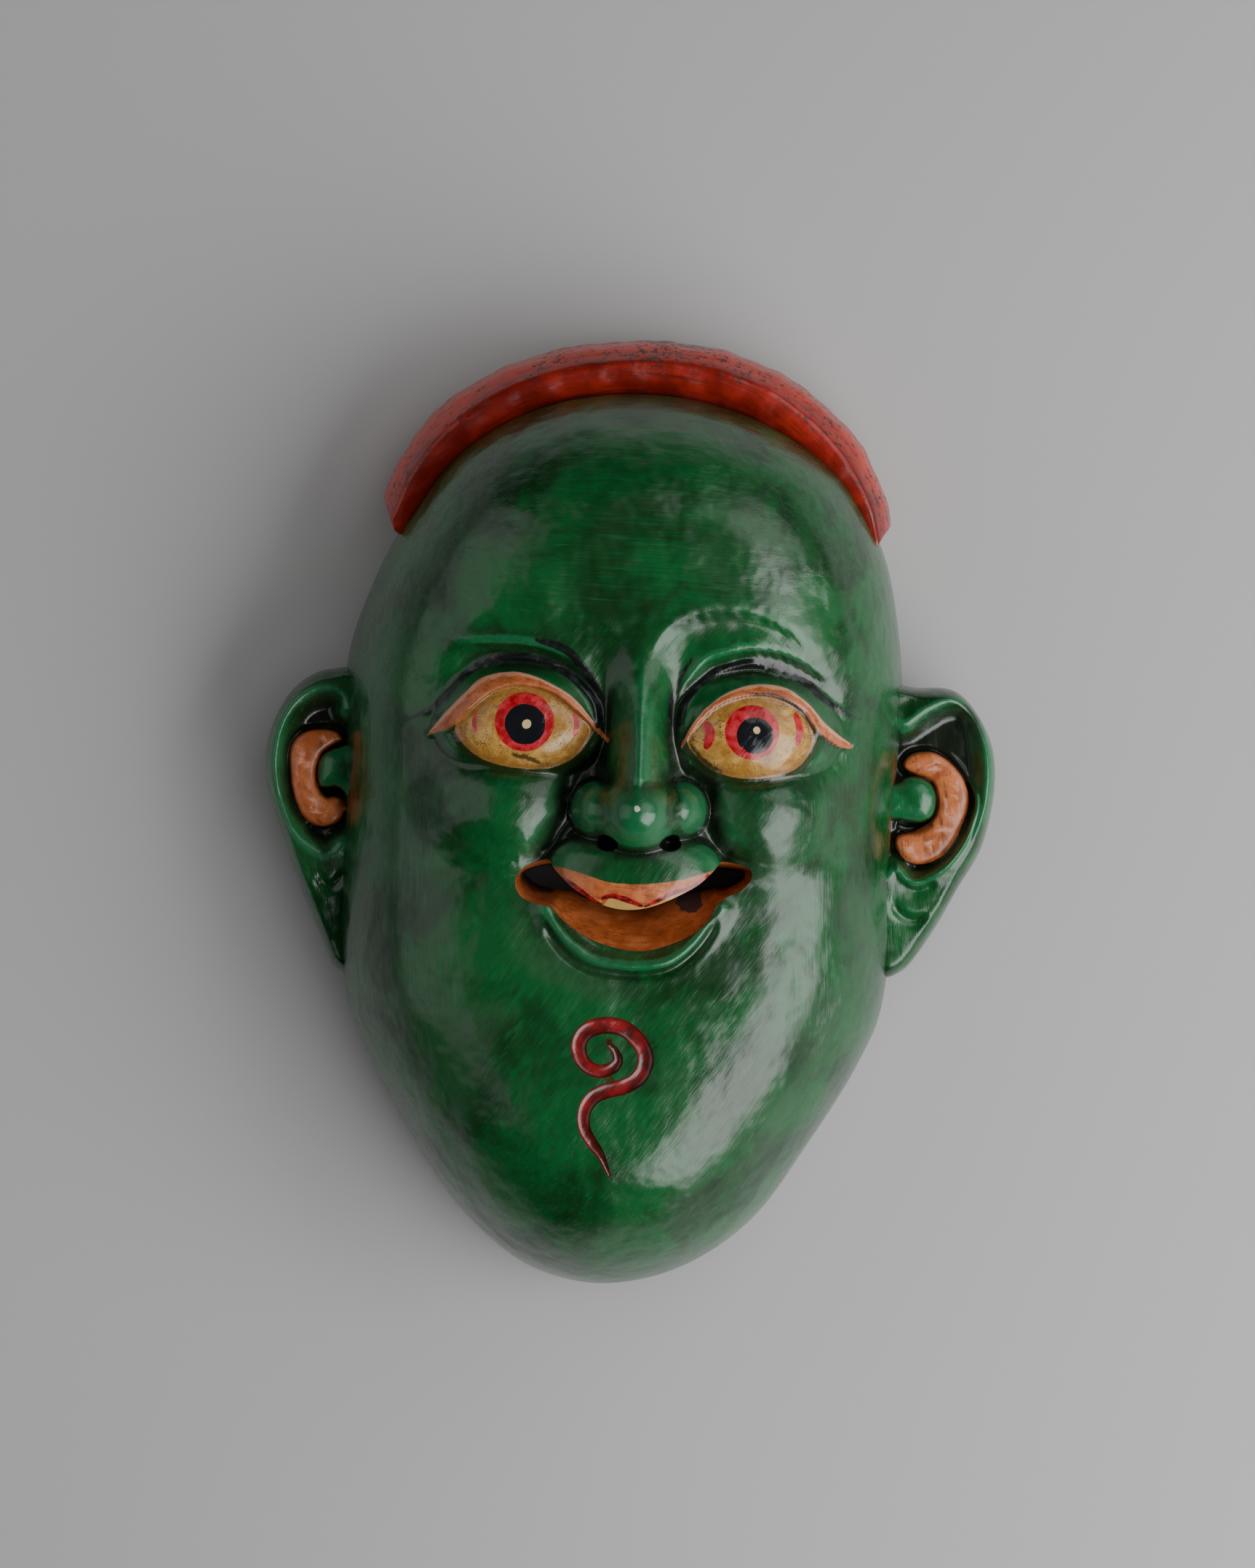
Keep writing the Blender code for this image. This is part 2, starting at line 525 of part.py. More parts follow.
def nostril(place, material, collection):
    """An upright ellipsoid that cuts one nostril up into the underside of the nose."""
    mesh = bpy.data.meshes.new("nostril cutter")
    work = bmesh.new()
    bmesh.ops.create_uvsphere(work, u_segments=12, v_segments=8, radius=0.5)
    size = (NOSTRIL_DIAMETER, NOSTRIL_DIAMETER * 0.72, NOSTRIL_DEPTH * 2)
    bmesh.ops.scale(work, verts=work.verts, vec=size)
    x, y = place
    centre = Vector((x * ACROSS, y * UP, 100.0 * OUT))
    bmesh.ops.translate(work, verts=work.verts, vec=centre)
    work.to_mesh(mesh)
    work.free()
    return new_object("nostril cutter", mesh, material, collection)


def paint(name, colour, roughness):
    """A lacquer of one colour."""
    material = bpy.data.materials.new(name)
    material.use_nodes = True
    shader = material.node_tree.nodes["Principled BSDF"]
    shader.inputs["Base Color"].default_value = (*colour, 1.0)
    shader.inputs["Roughness"].default_value = roughness
    shader.inputs["Metallic"].default_value = 0.0
    return material


def combine(body, other, operation):
    """Joins another solid to the body or cuts it out, and keeps that solid as a wire guide."""
    step = body.modifiers.new(f"{operation.lower()} {other.name}", "BOOLEAN")
    step.operation = operation
    step.solver = "EXACT"
    step.material_mode = "TRANSFER"
    step.object = other
    other.hide_render = True
    other.display_type = "WIRE"


def build():
    """Carves the mask and returns its one object."""
    for thing in list(bpy.data.objects):
        bpy.data.objects.remove(thing)
    parts = bpy.data.collections.new("wooden mask")
    guides = bpy.data.collections.new("cutters")
    for collection in (parts, guides):
        bpy.context.scene.collection.children.link(collection)
    green = paint("green lacquer", (0.010, 0.105, 0.030), 0.32)
    red = paint("red lacquer", (0.42, 0.018, 0.012), 0.34)
    orange = paint("orange lacquer", (0.60, 0.16, 0.07), 0.38)
    black = paint("black lacquer", (0.012, 0.013, 0.012), 0.3)
    wood = paint("bare wood", (0.33, 0.2, 0.11), 0.75)

    mask = shaped_sphere("mask", HEAD_SEGMENTS, HEAD_RINGS, head_shape, green, parts)
    face = BVHTree.FromPolygons([v.co for v in mask.data.vertices], [p.vertices for p in mask.data.polygons])
    for side in EAR_OUTLINES:
        ear = shaped_sphere(f"{side} ear", EAR_SEGMENTS, EAR_RINGS * 2, ear_shape(side), green, guides)
        combine(mask, ear, "UNION")
    combine(mask, brim(red, guides), "UNION")
    along = np.linspace(0, 1, CORD_POINTS)
    for side, eye in EYES.items():
        lid = line_on_face(face, eye["lid"], CORD_POINTS, LID_PROUD - LID_WIDTH / 2)
        swell = LID_WIDTH / 2 * np.interp(along, [0, 0.15, 0.5, 0.9, 1], [0.35, 0.85, 1, 0.9, 0.4])
        combine(mask, tube(f"{side} lid", lid, swell, orange, guides, CORD_ROOT), "UNION")
        crease = line_on_face(face, eye["crease"], CORD_POINTS, CREASE_WIDTH * 0.1)
        swell = CREASE_WIDTH / 2 * np.interp(along, [0, 0.2, 0.5, 0.9, 1], [0.4, 0.9, 1, 0.9, 0.5])
        combine(mask, tube(f"{side} crease", crease, swell, black, guides, CORD_ROOT), "UNION")
    hollow = shaped_sphere("hollow cutter", HOLLOW_SEGMENTS, HOLLOW_RINGS, hollow_shape, wood, guides)
    combine(mask, hollow, "DIFFERENCE")
    combine(mask, mouth_cutter(orange, guides), "DIFFERENCE")
    for place in NOSTRILS:
        combine(mask, nostril(place, black, guides), "DIFFERENCE")
    groove = line_on_face(face, SPIRAL, SPIRAL_POINTS, GROOVE_WIDTH / 2 - GROOVE_DEPTH)
    along = np.linspace(0, 1, SPIRAL_POINTS)
    swell = GROOVE_WIDTH / 2 * np.interp(along, [0, 0.1, 0.3, 0.75, 1], [0.6, 0.9, 1, 1, 0.62])
    combine(mask, tube("spiral cutter", groove, swell, red, guides), "DIFFERENCE")
    weld = mask.modifiers.new("weld slivers", "WELD")
    weld.merge_threshold = SLIVER
    return mask


build()
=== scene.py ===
# %% [markdown]
# # A carved and lacquered wall mask
#
# The mask is one block of wood: a laughing face with round painted eyes, jug ears, a long chin and a
# red brim. The frame below is its plain solid. This lesson dresses that frame with finer surfaces of
# the same sizes, each worked out as a formula on a grid, and paints them with lacquers that are worn
# where hands and years have touched them.

import math

import bmesh
import bpy
import numpy as np
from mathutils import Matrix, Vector


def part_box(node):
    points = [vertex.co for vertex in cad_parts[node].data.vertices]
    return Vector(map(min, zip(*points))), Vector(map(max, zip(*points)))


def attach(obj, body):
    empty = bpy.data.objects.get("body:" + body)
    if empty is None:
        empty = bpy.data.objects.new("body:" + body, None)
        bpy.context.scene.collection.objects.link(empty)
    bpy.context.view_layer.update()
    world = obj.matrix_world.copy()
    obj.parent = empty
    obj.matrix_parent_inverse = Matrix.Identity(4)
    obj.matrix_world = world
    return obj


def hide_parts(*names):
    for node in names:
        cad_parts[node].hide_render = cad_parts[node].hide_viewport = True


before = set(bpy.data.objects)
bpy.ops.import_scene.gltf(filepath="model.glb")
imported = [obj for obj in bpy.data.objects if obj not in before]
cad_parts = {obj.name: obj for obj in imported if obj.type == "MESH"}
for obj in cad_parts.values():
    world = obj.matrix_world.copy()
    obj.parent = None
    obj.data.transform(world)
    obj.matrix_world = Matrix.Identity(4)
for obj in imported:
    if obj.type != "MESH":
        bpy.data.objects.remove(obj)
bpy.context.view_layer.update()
LOW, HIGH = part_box("mask")
print("the solid reaches from", np.round(LOW, 4), "to", np.round(HIGH, 4))

# %% [markdown]
# ## The drawing and its scale
#
# The face is drawn in millimetres, as a carver would draw it on the end of the block, and stretched to
# the size of the solid. One scale for each direction keeps the drawing and the solid together.

# %% Scales from the drawing to the solid
DRAWN_WIDTH, DRAWN_HEIGHT, DRAWN_DEPTH = 233.0, 302.6, 117.5
ACROSS = (HIGH[0] - LOW[0]) / DRAWN_WIDTH
UP = (HIGH[1] - LOW[1]) / DRAWN_HEIGHT
OUT = (HIGH[2] - LOW[2]) / DRAWN_DEPTH
MIDDLE = (0.0, -5.0)
MIDLINE = 2.6
SIDE_HEIGHT = 22.0
RIM_WIDTH = 11.5
print("one drawn millimetre is", round(ACROSS * 1000, 4), "mm across and", round(UP * 1000, 4), "mm up")


def to_metres(x, y, z):
    """Stretches drawn millimetres to the solid: each coordinate times its own scale."""
    return np.stack([x * ACROSS, y * UP, z * OUT], -1)


# %% [markdown]
# ## Small tools for carving with formulas
#
# Carving leaves three kinds of shape: swellings, ridges along a line, and places where one form meets
# another. Each gets one short function. Lines of the face are smooth curves through a few points.

# %% Swellings, ridges and meetings
def smooth(low, high, value):
    """Rises from 0 to 1 between low and high: 3t^2 - 2t^3, level at both ends."""
    t = np.clip((value - low) / (high - low), 0.0, 1.0)
    return t * t * (3.0 - 2.0 * t)


def bell(distance, width):
    """A rounded ridge: e to the minus (distance / width) squared."""
    return np.exp(-(distance / width) ** 2)


def blend(first, second, radius):
    """The higher of two surfaces, plus a fillet h^2 r / 4 where they lie within r of each other."""
    overlap = np.clip(radius - np.abs(first - second), 0.0, None) / radius
    return np.maximum(first, second) + overlap * overlap * radius / 4


def dome(x, y, centre, reach, foot, crown):
    """Half an ellipsoid: foot + (crown - foot) times the root of 1 - r^2, sinking gently outside."""
    r2 = ((x - centre[0]) / reach[0]) ** 2 + ((y - centre[1]) / reach[1]) ** 2
    inside = foot + (crown - foot) * np.sqrt(np.clip(1 - r2, 0, 1))
    return np.where(r2 < 1, inside, foot - 6 * (np.sqrt(r2) - 1))


# %% Curves and distances
def curve_through(points, count, closed=False):
    """A smooth curve through the points (each span a cubic that leaves along its neighbours' chord)."""
    p = np.array(points, float)
    if closed:
        p = np.vstack([p[-1], p, p[0], p[1]])
    else:
        p = np.vstack([2 * p[0] - p[1], p, 2 * p[-1] - p[-2]])
    t = np.linspace(0, 1, 16, endpoint=False)[:, None]
    spans = []
    for a, b, c, d in zip(p[:-3], p[1:-2], p[2:-1], p[3:]):
        bend = (2 * a - 5 * b + 4 * c - d) * t ** 2 + (3 * b - a - 3 * c + d) * t ** 3
        spans.append(0.5 * (2 * b + (c - a) * t + bend))
    dense = np.vstack(spans + [p[-2][None]])
    steps = np.linalg.norm(np.diff(dense, axis=0), axis=1)
    run = np.concatenate([[0.0], np.cumsum(steps)])
    at = np.linspace(0, run[-1], count, endpoint=not closed)
    return np.stack([np.interp(at, run, dense[:, k]) for k in range(p.shape[1])], 1)


def nearest(x, y, line, reach=None):
    """Distance to a line, side (1 on the left of its direction) and share of its length.

    Each point is dropped square onto every leg, and the closest foot is kept. Points further from the
    line's box than reach are given that distance without the work.
    """
    x, y = np.broadcast_arrays(x, y)
    shape = x.shape
    x, y = x.ravel(), y.ravel()
    start, leg = line[:-1], np.diff(line, axis=0)
    square = (leg ** 2).sum(1)
    length = np.sqrt(square)
    before = np.concatenate([[0.0], np.cumsum(length)[:-1]])
    reach = float(reach or 1000.0)
    gap, side, share = np.full(len(x), reach), np.ones(len(x)), np.zeros(len(x))
    low, high = line.min(0) - reach, line.max(0) + reach
    close = np.flatnonzero((x > low[0]) & (x < high[0]) & (y > low[1]) & (y < high[1]))
    for part in np.array_split(close, max(1, len(close) // 20000)):
        px, py = x[part, None] - start[:, 0], y[part, None] - start[:, 1]
        t = np.clip((px * leg[:, 0] + py * leg[:, 1]) / square, 0, 1)
        away = (px - t * leg[:, 0]) ** 2 + (py - t * leg[:, 1]) ** 2
        best = away.argmin(1)
        row = np.arange(len(part))
        gap[part] = np.sqrt(away[row, best])
        side[part] = np.sign(leg[best, 0] * py[row, best] - leg[best, 1] * px[row, best])
        share[part] = (before[best] + t[row, best] * length[best]) / length.sum()
    return gap.reshape(shape), side.reshape(shape), share.reshape(shape)


def depth_inside(x, y, outline, reach=None):
    """Distance to a closed outline, positive inside (an odd number of its legs lie to the right)."""
    loop = np.vstack([outline, outline[:1]])
    distance = nearest(x, y, loop, reach)[0]
    odd = np.zeros(x.shape, bool)
    for (x0, y0), (x1, y1) in zip(loop[:-1], loop[1:]):
        if y0 != y1:
            crosses = (y > y0) != (y > y1)
            odd ^= crosses & (x < (x1 - x0) * (y - y0) / (y1 - y0) + x0)
    return np.where(odd, distance, -distance)


def radius_towards(outline, centre, angle):
    """How far a closed outline lies from a point inside it, in each direction."""
    p = curve_through(outline, 900, closed=True) - centre
    around = np.unwrap(np.arctan2(p[:, 1], p[:, 0]))
    far = np.hypot(p[:, 0], p[:, 1])
    if around[-1] < around[0]:
        around, far = around[::-1], far[::-1]
    around = np.concatenate([around - 2 * math.pi, around, around + 2 * math.pi])
    return np.interp(angle, around, np.tile(far, 3))

# %% [markdown]
# ## The drawn lines of the face
#
# A carver first draws the outline and the lines where one form turns into the next: the lids, the brow
# leaves, the folds beside the nose and the mouth. The two halves are a little unlike, as on any hand
# carving. Each line needs only the points where it bends.

# %% The outline and the long profile
HEAD_OUTLINE = [
    (84.5, -5), (86.5, 30), (84.5, 60), (78, 87), (62, 112), (34, 128.5), (3, 134.5), (-28, 130.5),
    (-55, 116), (-72, 94), (-84, 70), (-91.5, 44), (-91.5, 5), (-91.8, -38), (-86.5, -69), (-72.1, -96.5),
    (-54.3, -124.1), (-34, -143), (-14.2, -150.6), (5.1, -150.3), (25, -143), (43.5, -128.5),
    (58.5, -107.1), (75.2, -79), (83.2, -55),
]
FRONT_PROFILE = [
    (-152, 84), (-135, 88), (-110, 90), (-85, 89.5), (-60, 88), (-30, 87), (0, 87), (30, 88), (55, 93),
    (85, 96), (110, 94), (135, 86),
]


def depth_in_head(x, y, reach=None):
    """How far a point lies inside the head's outline."""
    return depth_inside(x, y, curve_through(HEAD_OUTLINE, 260, closed=True), reach)


def plain_front(x, y):
    """The front before carving: the long profile, less 5 mm times (x / 85)^2.4 to each side."""
    line = curve_through(FRONT_PROFILE, 160)
    return np.interp(y, line[:, 0], line[:, 1]) - 5.0 * (np.abs(x - 1) / 85.0) ** 2.4


# %% Lines of the two eyes, each drawn from the temple to the nose
EYES = {
    "left": {
        "side": -1,
        "leaf": 0.45,
        "centre": (-33.6, 25.5),
        "lid top": [(-63.4, 21.6), (-58.0, 28.2), (-51.2, 35.3), (-45.9, 40.1), (-35.8, 41.9), (-26.5, 39.2),
                    (-18.1, 34.3), (-11.4, 27.0)],
        "lid foot": [(-63.4, 21.6), (-54.8, 24.8), (-48.4, 31.2), (-42.1, 36.0), (-34.8, 37.6),
                     (-25.5, 36.0), (-18.1, 31.0), (-12.3, 25.6)],
        "ball": [(-54.2, 24.6), (-48.4, 31.2), (-42.1, 36.0), (-34.8, 37.6), (-25.5, 36.0), (-18.1, 31.0),
                 (-12.3, 25.6), (-13.9, 20.7), (-17.6, 16.0), (-24.0, 12.9), (-30.4, 12.2), (-38.7, 12.9),
                 (-46.1, 15.2), (-51.3, 19.2)],
        "crease": [(-70.5, 26.0), (-60.3, 31.4), (-53.2, 39.4), (-46.9, 44.1), (-37.7, 46.5),
                   (-29.5, 46.0), (-21.1, 42.5), (-15.5, 38.1), (-11.7, 33.1), (-10.4, 26.5)],
        "brow top": [(-56, 52.5), (-50.5, 56.4), (-42.7, 60.0), (-34.5, 61.9), (-26.2, 62.1), (-13.3, 59.7),
                     (-5.8, 54.4), (-1.3, 47.5), (0.5, 35.0), (0.4, 20)],
        "brow foot": [(-56, 51.5), (-50, 52.0), (-43.4, 52.2), (-33.3, 51.6), (-24.0, 49.4), (-16.6, 45.5),
                      (-11.0, 38.5), (-8.4, 30.0), (-9.0, 20.0)],
        "iris": ((-32.8, 26.6), 9.1),
        "pupil": ((-32.6, 25.9), 6.2),
        "light": ((-32.1, 25.9), 1.45),
        "marks": [([(-47.6, 29.4), (-48.2, 26.2), (-47.7, 22.8)], 0.75),
                  ([(-17.9, 30.0), (-16.8, 26.3), (-17.6, 22.4)], 0.8)],
    },
    "right": {
        "side": 1,
        "leaf": 1.0,
        "centre": (37.0, 24.5),
        "lid top": [(70.5, 21.2), (63.9, 25.4), (59.2, 29.0), (54.5, 34.2), (47.0, 39.1), (37.8, 39.9),
                    (29.6, 37.4), (23.2, 32.7), (18.8, 27.5), (16.2, 22.4)],
        "lid foot": [(70.5, 21.2), (63.5, 21.6), (56.9, 26.0), (52.7, 31.8), (45.2, 35.7), (36.0, 36.3),
                     (27.8, 33.7), (22.4, 29.5), (17.2, 22.4)],
        "ball": [(56.4, 24.4), (52.7, 31.8), (45.2, 35.7), (36.0, 36.3), (27.8, 33.7), (22.4, 29.5),
                 (17.2, 22.4), (20.3, 17.2), (25.6, 13.2), (33.0, 11.1), (42.2, 11.4), (49.5, 13.6),
                 (54.0, 17.8)],
        "crease": [(72.0, 30.0), (64.6, 32.8), (59.0, 36.3), (52.5, 41.7), (45.0, 45.2), (37.6, 46.6),
                   (30.3, 45.2), (23.9, 42.3), (18.9, 37.8), (16.2, 33.0), (15.0, 26.5)],
        "brow top": [(62.0, 44.0), (57.5, 48.6), (49.2, 55.8), (41.8, 60.2), (32.5, 62.7), (23.4, 62.5),
                     (15.2, 59.9), (8.9, 54.7), (5.4, 47.5), (4.4, 38.0), (4.0, 20)],
        "brow foot": [(62.0, 43.6), (56.5, 46.2), (49.4, 49.8), (43.8, 51.5), (35.6, 51.6), (27.4, 49.7),
                      (21.9, 47.3), (17.6, 42.2), (14.6, 36.6), (13.2, 30.0), (14.0, 21.0)],
        "iris": ((36.9, 25.2), 8.4),
        "pupil": ((37.8, 24.2), 5.6),
        "light": ((38.3, 25.8), 1.15),
        "marks": [([(22.6, 28.2), (24.0, 24.4), (22.9, 19.6)], 1.5),
                  ([(50.0, 31.6), (51.6, 26.5), (50.9, 21.2)], 1.15)],
    },
}

# %% Lines of the nose, cheeks and mouth
CHEEKS = [(-39.5, 1.0), (44.5, 0.6)]
NOSE_WINGS = [(-8.6, 0.2), (14.4, 0.8)]
NOSTRILS = [(-6.4, -9.6), (12.8, -9.2)]
NOSE_FOLDS = {
    -1: [(-14.5, 13), (-17.6, 6), (-17.9, -1), (-21.5, -6.4), (-25.1, -12.3), (-28.5, -15.2), (-33.5, -16.2)],
    1: [(19.2, 13), (21.9, 6), (22.0, -1), (24.7, -5.9), (27.9, -10.9), (32.0, -13.4), (38.0, -14.6)],
}
UPPER_LIP = [(-23.5, -17.3), (-17.9, -22.8), (-12.1, -26.7), (-6.4, -29.1), (-0.7, -30.1), (5.0, -29.6),
             (10.6, -27.8), (16.2, -25.1), (21.9, -21.8), (26.9, -17.1)]
LIP_TOP = [(-23.5, -17.3), (-18.0, -18.2), (-12.3, -19.8), (-6.6, -21.6), (-0.9, -22.1), (4.8, -22.1),
           (10.5, -21.5), (16.1, -20.5), (21.8, -18.9), (26.9, -17.1)]
MOUTH_SIDES = [(29.2, -14.2), (34.5, -15.0), (38.6, -17.0), (39.0, -20.4), (35.7, -24.4), (30.4, -26.6),
               (27.9, -28.6), (26.2, -32.6), (22.3, -37.3), (16.7, -41.4), (10.0, -44.2), (3.7, -45.0),
               (-3.2, -44.2), (-10.1, -42.1), (-15.8, -38.8), (-20.6, -34.4), (-23.6, -30.4), (-28.6, -30.0),
               (-32.7, -29.1), (-35.1, -25.4), (-34.7, -20.6), (-30.6, -16.6), (-24.9, -14.6)]
LOWER_LIP = [(-25.0, -30.6), (-22.2, -36.6), (-16.4, -42.4), (-10.8, -45.8), (-4.6, -47.4), (3.4, -48.0),
             (10.8, -47.0), (16.9, -44.2), (22.6, -39.2), (26.6, -33.6), (28.8, -29.2)]
LIP_CREASE = [(-25.6, -31.6), (-23.3, -38.6), (-17.4, -45.2), (-11.6, -48.5), (-5.9, -49.8), (2.6, -50.4),
              (11.3, -49.3), (16.9, -46.6), (22.5, -41.4), (26.9, -34.9), (29.2, -29.6)]
SPIRAL = [(-4.4, -71.8), (-2.5, -73.8), (-1.6, -76.8), (-3.6, -79.2), (-7.5, -80.1), (-11.2, -78.4),
          (-13.3, -75.3), (-13.6, -71.7), (-11.9, -68.4), (-8.7, -66.5), (-4.3, -66.0), (0.1, -66.9),
          (3.8, -69.6), (6.1, -72.8), (7.0, -76.3), (6.1, -80.0), (3.7, -82.8), (0.2, -84.7),
          (-3.4, -85.6), (-7.4, -87.1), (-10.1, -89.6), (-11.6, -93.3), (-11.3, -97.7), (-9.0, -102.0),
          (-6.1, -105.9), (-3.1, -112.3)]
SPIRAL_SHARES, SPIRAL_HALVES = [0, 0.08, 0.3, 0.7, 0.9, 1], [0.9, 1.9, 2.6, 2.4, 1.7, 0.4]

# %% [markdown]
# ## Carving the brow and the eye
#
# Each brow is a leaf, dished between two crisp ridges. Below it the socket sinks, and out of the socket
# swells the eyeball inside its lid. The lid ends in a flat orange ledge with a long tail. All of this
# is added to the height of the face, so the whole carving stays one surface.

# %% One brow and eye
LEAF_DISH, LEAF_RIDGE, SOCKET_DEPTH = 2.1, 0.8, 4.0
LID_REACH, LID_FOOT, LID_CROWN = (28.5, 19.8), 81.0, 97.4
CREASE_SHARES = [0, 0.15, 0.5, 0.88, 1]
ALMOND_STEP, LEDGE, TAIL = 0.75, 0.45, 1.5


def carve_eye(x, y, z, eye):
    """Height with one eye carved in: a dished leaf, a sunk socket, a domed lid and a sunk almond.

    The dish is its depth times 4w(1 - w), w being the share of the way across the leaf. The lid is half
    an ellipsoid blended in, and the almond inside it drops by a step and swells again as the ball.
    """
    side, centre = eye["side"], eye["centre"]
    near = (np.abs(x - centre[0]) < 44) & (np.abs(y - centre[1] - 8) < 44)
    shape = z.copy()
    x, y, z = x[near], y[near], z[near]

    def towards_eye(name):
        distance, turn, share = nearest(x, y, curve_through(eye[name], 90))
        return side * turn * distance, share

    outward = side * (x - centre[0])
    under_top, _ = towards_eye("brow top")
    under_foot, _ = towards_eye("brow foot")
    leaf = np.clip(under_top, 0, None) + np.clip(-under_foot, 0, None)
    across = np.where(under_foot > 0, 1.0, np.clip(under_top, 0, None) / (leaf + 1e-6))
    dish = -LEAF_DISH * 4 * across * (1 - across) * smooth(0, 7, leaf)
    ridge = np.where(under_top < 0, LEAF_RIDGE * bell(under_top, 7.0), LEAF_RIDGE + dish - 0.7 * across)
    z = z + eye["leaf"] * ridge * smooth(29, 12, outward) * smooth(-18, 8, y - centre[1])
    socket = np.where(under_foot > 0, -SOCKET_DEPTH * smooth(-0.3, 4.6, under_foot), 0)
    z = z + socket * smooth(31, 12, outward) * smooth(-20, -2, y - centre[1])
    lid = dome(x, y, (centre[0], centre[1] + 0.6), LID_REACH, LID_FOOT, LID_CROWN)
    z = blend(z, lid, 2.2)

    over_crease, along = towards_eye("crease")
    thick = np.interp(along, CREASE_SHARES, [0.2, 0.85, 1.15, 1.0, 0.5])
    z = z + 1.25 * thick * bell(over_crease, 1.05 * thick)
    z = z - 0.4 * thick * (bell(over_crease - 2.4, 1.1) + 0.7 * bell(over_crease + 2.4, 1.1))

    opening = depth_inside(x, y, curve_through(eye["ball"], 110, closed=True))
    upper = smooth(-7, 9, y - centre[1])
    z = z - (ALMOND_STEP + 1.15 * upper) * smooth(-0.5, 0.55, opening)
    z = z + ALMOND_STEP * smooth(0.4, 5.0, opening)
    z = z - 0.7 * bell(opening + 1.3, 1.3) * smooth(5, -4, y - centre[1])

    below_ledge, along = towards_eye("lid foot")
    above_top, _ = towards_eye("lid top")
    ledge = smooth(0.55, -0.35, below_ledge) * smooth(-0.75, 0.3, above_top)
    tail = smooth(0.36, 0.16, along)
    z = z + (LEDGE + TAIL * tail) * ledge
    shape[near] = z
    return shape


# %% [markdown]
# ## The nose, the cheeks and the mouth
#
# The nose is a sharp ridge that widens into a round tip with two wings, all blended. The cheeks are
# soft mounds pushed up by the smile, and a fold runs from each wing to the corner of the mouth. The
# upper lip swells over the opening, and the lower lip is a rounded rim with a crease under it.

# %% The nose
TIP, TIP_REACH, TIP_FOOT = (MIDLINE, -0.6), (15.4, 13.0), 87
WING_REACH, WING_FOOT, WING_CROWN = (10.4, 10.2), 84, 106.6


def nose(x, y):
    """The ridge falls to both sides of its crest line; tip and wings are half ellipsoids well blended."""
    crest = np.interp(y, [-30, -14, -4, 2, 10, 20, 32, 44, 54, 70],
                      [40, 60, 100, 112.5, 112.2, 107.0, 100.6, 94.6, 90, 78])
    half = np.interp(y, [-10, 8, 22, 34, 46, 56], [11, 9.4, 8.6, 8.4, 9.0, 12.0])
    fall = np.interp(y, [-10, 8, 22, 34, 46, 56], [14, 18, 15.0, 10.5, 4.0, 2.0])
    aside = np.abs(x - MIDLINE) / half
    aside = np.sqrt(aside ** 2 + 0.012) - 0.11
    shape = crest - fall * np.where(aside < 1, 0.5 * aside + 0.5 * aside ** 2, 1 + 1.5 * (aside - 1))
    shape = blend(shape, dome(x, y, TIP, TIP_REACH, TIP_FOOT, DRAWN_DEPTH), 5.0)
    for wing in NOSE_WINGS:
        shape = blend(shape, dome(x, y, wing, WING_REACH, WING_FOOT, WING_CROWN), 5.5)
    groove = bell(np.abs(x - MIDLINE) - 9.6 - 0.12 * y, 2.6) * smooth(12, 3, y) * smooth(-12, -4, y)
    return shape - 1.3 * groove


# %% The carved front and its turned-back edge
CHEEK_REACH, CHEEK_HEIGHT = (31.0, 24.5), 9.6
MOUND_FOOT, MOUND_HEIGHT = 84.0, 17.5
LOWER_LIP_HEIGHT, LOWER_LIP_WIDTH, LIP_CREASE_DEPTH = 3.0, 3.5, 2.6
TURN_REACH = 60.0


def carved_front(x, y):
    """Height of the carved face over the back plane, before its edges turn back.

    A cheek is its height times (1 - r^2)^1.9. The upper lip's mound is the root of 1 - r over a rounded
    box, and the lower lip and its crease are bells along their lines.
    """
    z = plain_front(x, y)
    for cheek in CHEEKS:
        away = ((x - cheek[0]) / CHEEK_REACH[0]) ** 2 + ((y - cheek[1]) / CHEEK_REACH[1]) ** 2
        z = z + CHEEK_HEIGHT * np.clip(1 - away, 0, 1) ** 1.9
        rim = np.sqrt(away) - 1.0
        inner = smooth(16, -8, np.abs(x - MIDLINE) - 26)
        z = z - 1.0 * bell(rim * 20, 7.0) * smooth(4, -14, y - cheek[1]) * inner
    for eye in EYES.values():
        z = carve_eye(x, y, z, eye)
    for side, fold in NOSE_FOLDS.items():
        distance, turn, share = nearest(x, y, curve_through(fold, 60), 25)
        depth = np.interp(share, [0, 0.25, 0.8, 1], [0.8, 3.8, 3.6, 0.4])
        z = z - depth * bell(distance, np.where(turn * side > 0, 4.2, 2.0))
    lip = (np.abs(x - MIDLINE) / 27.5) ** 2.6
    lip = lip + (np.clip(y + 19, 0, None) / 15.0) ** 2.2 + (np.clip(-19 - y, 0, None) / 17.5) ** 2.4
    swell = MOUND_FOOT + MOUND_HEIGHT * np.sqrt(np.clip(1 - lip, 0, 1))
    z = blend(z, np.where(lip < 1, swell, MOUND_FOOT - 5 * (lip - 1)), 2.2)
    distance, _, _ = nearest(x, y, curve_through(LOWER_LIP, 70), 20)
    z = z + LOWER_LIP_HEIGHT * bell(distance, LOWER_LIP_WIDTH)
    distance, _, share = nearest(x, y, curve_through(LIP_CREASE, 70), 20)
    z = z - LIP_CREASE_DEPTH * bell(distance, 1.6) * smooth(0, 0.12, share) * smooth(1, 0.88, share)
    return blend(z, nose(x, y), 4.0)


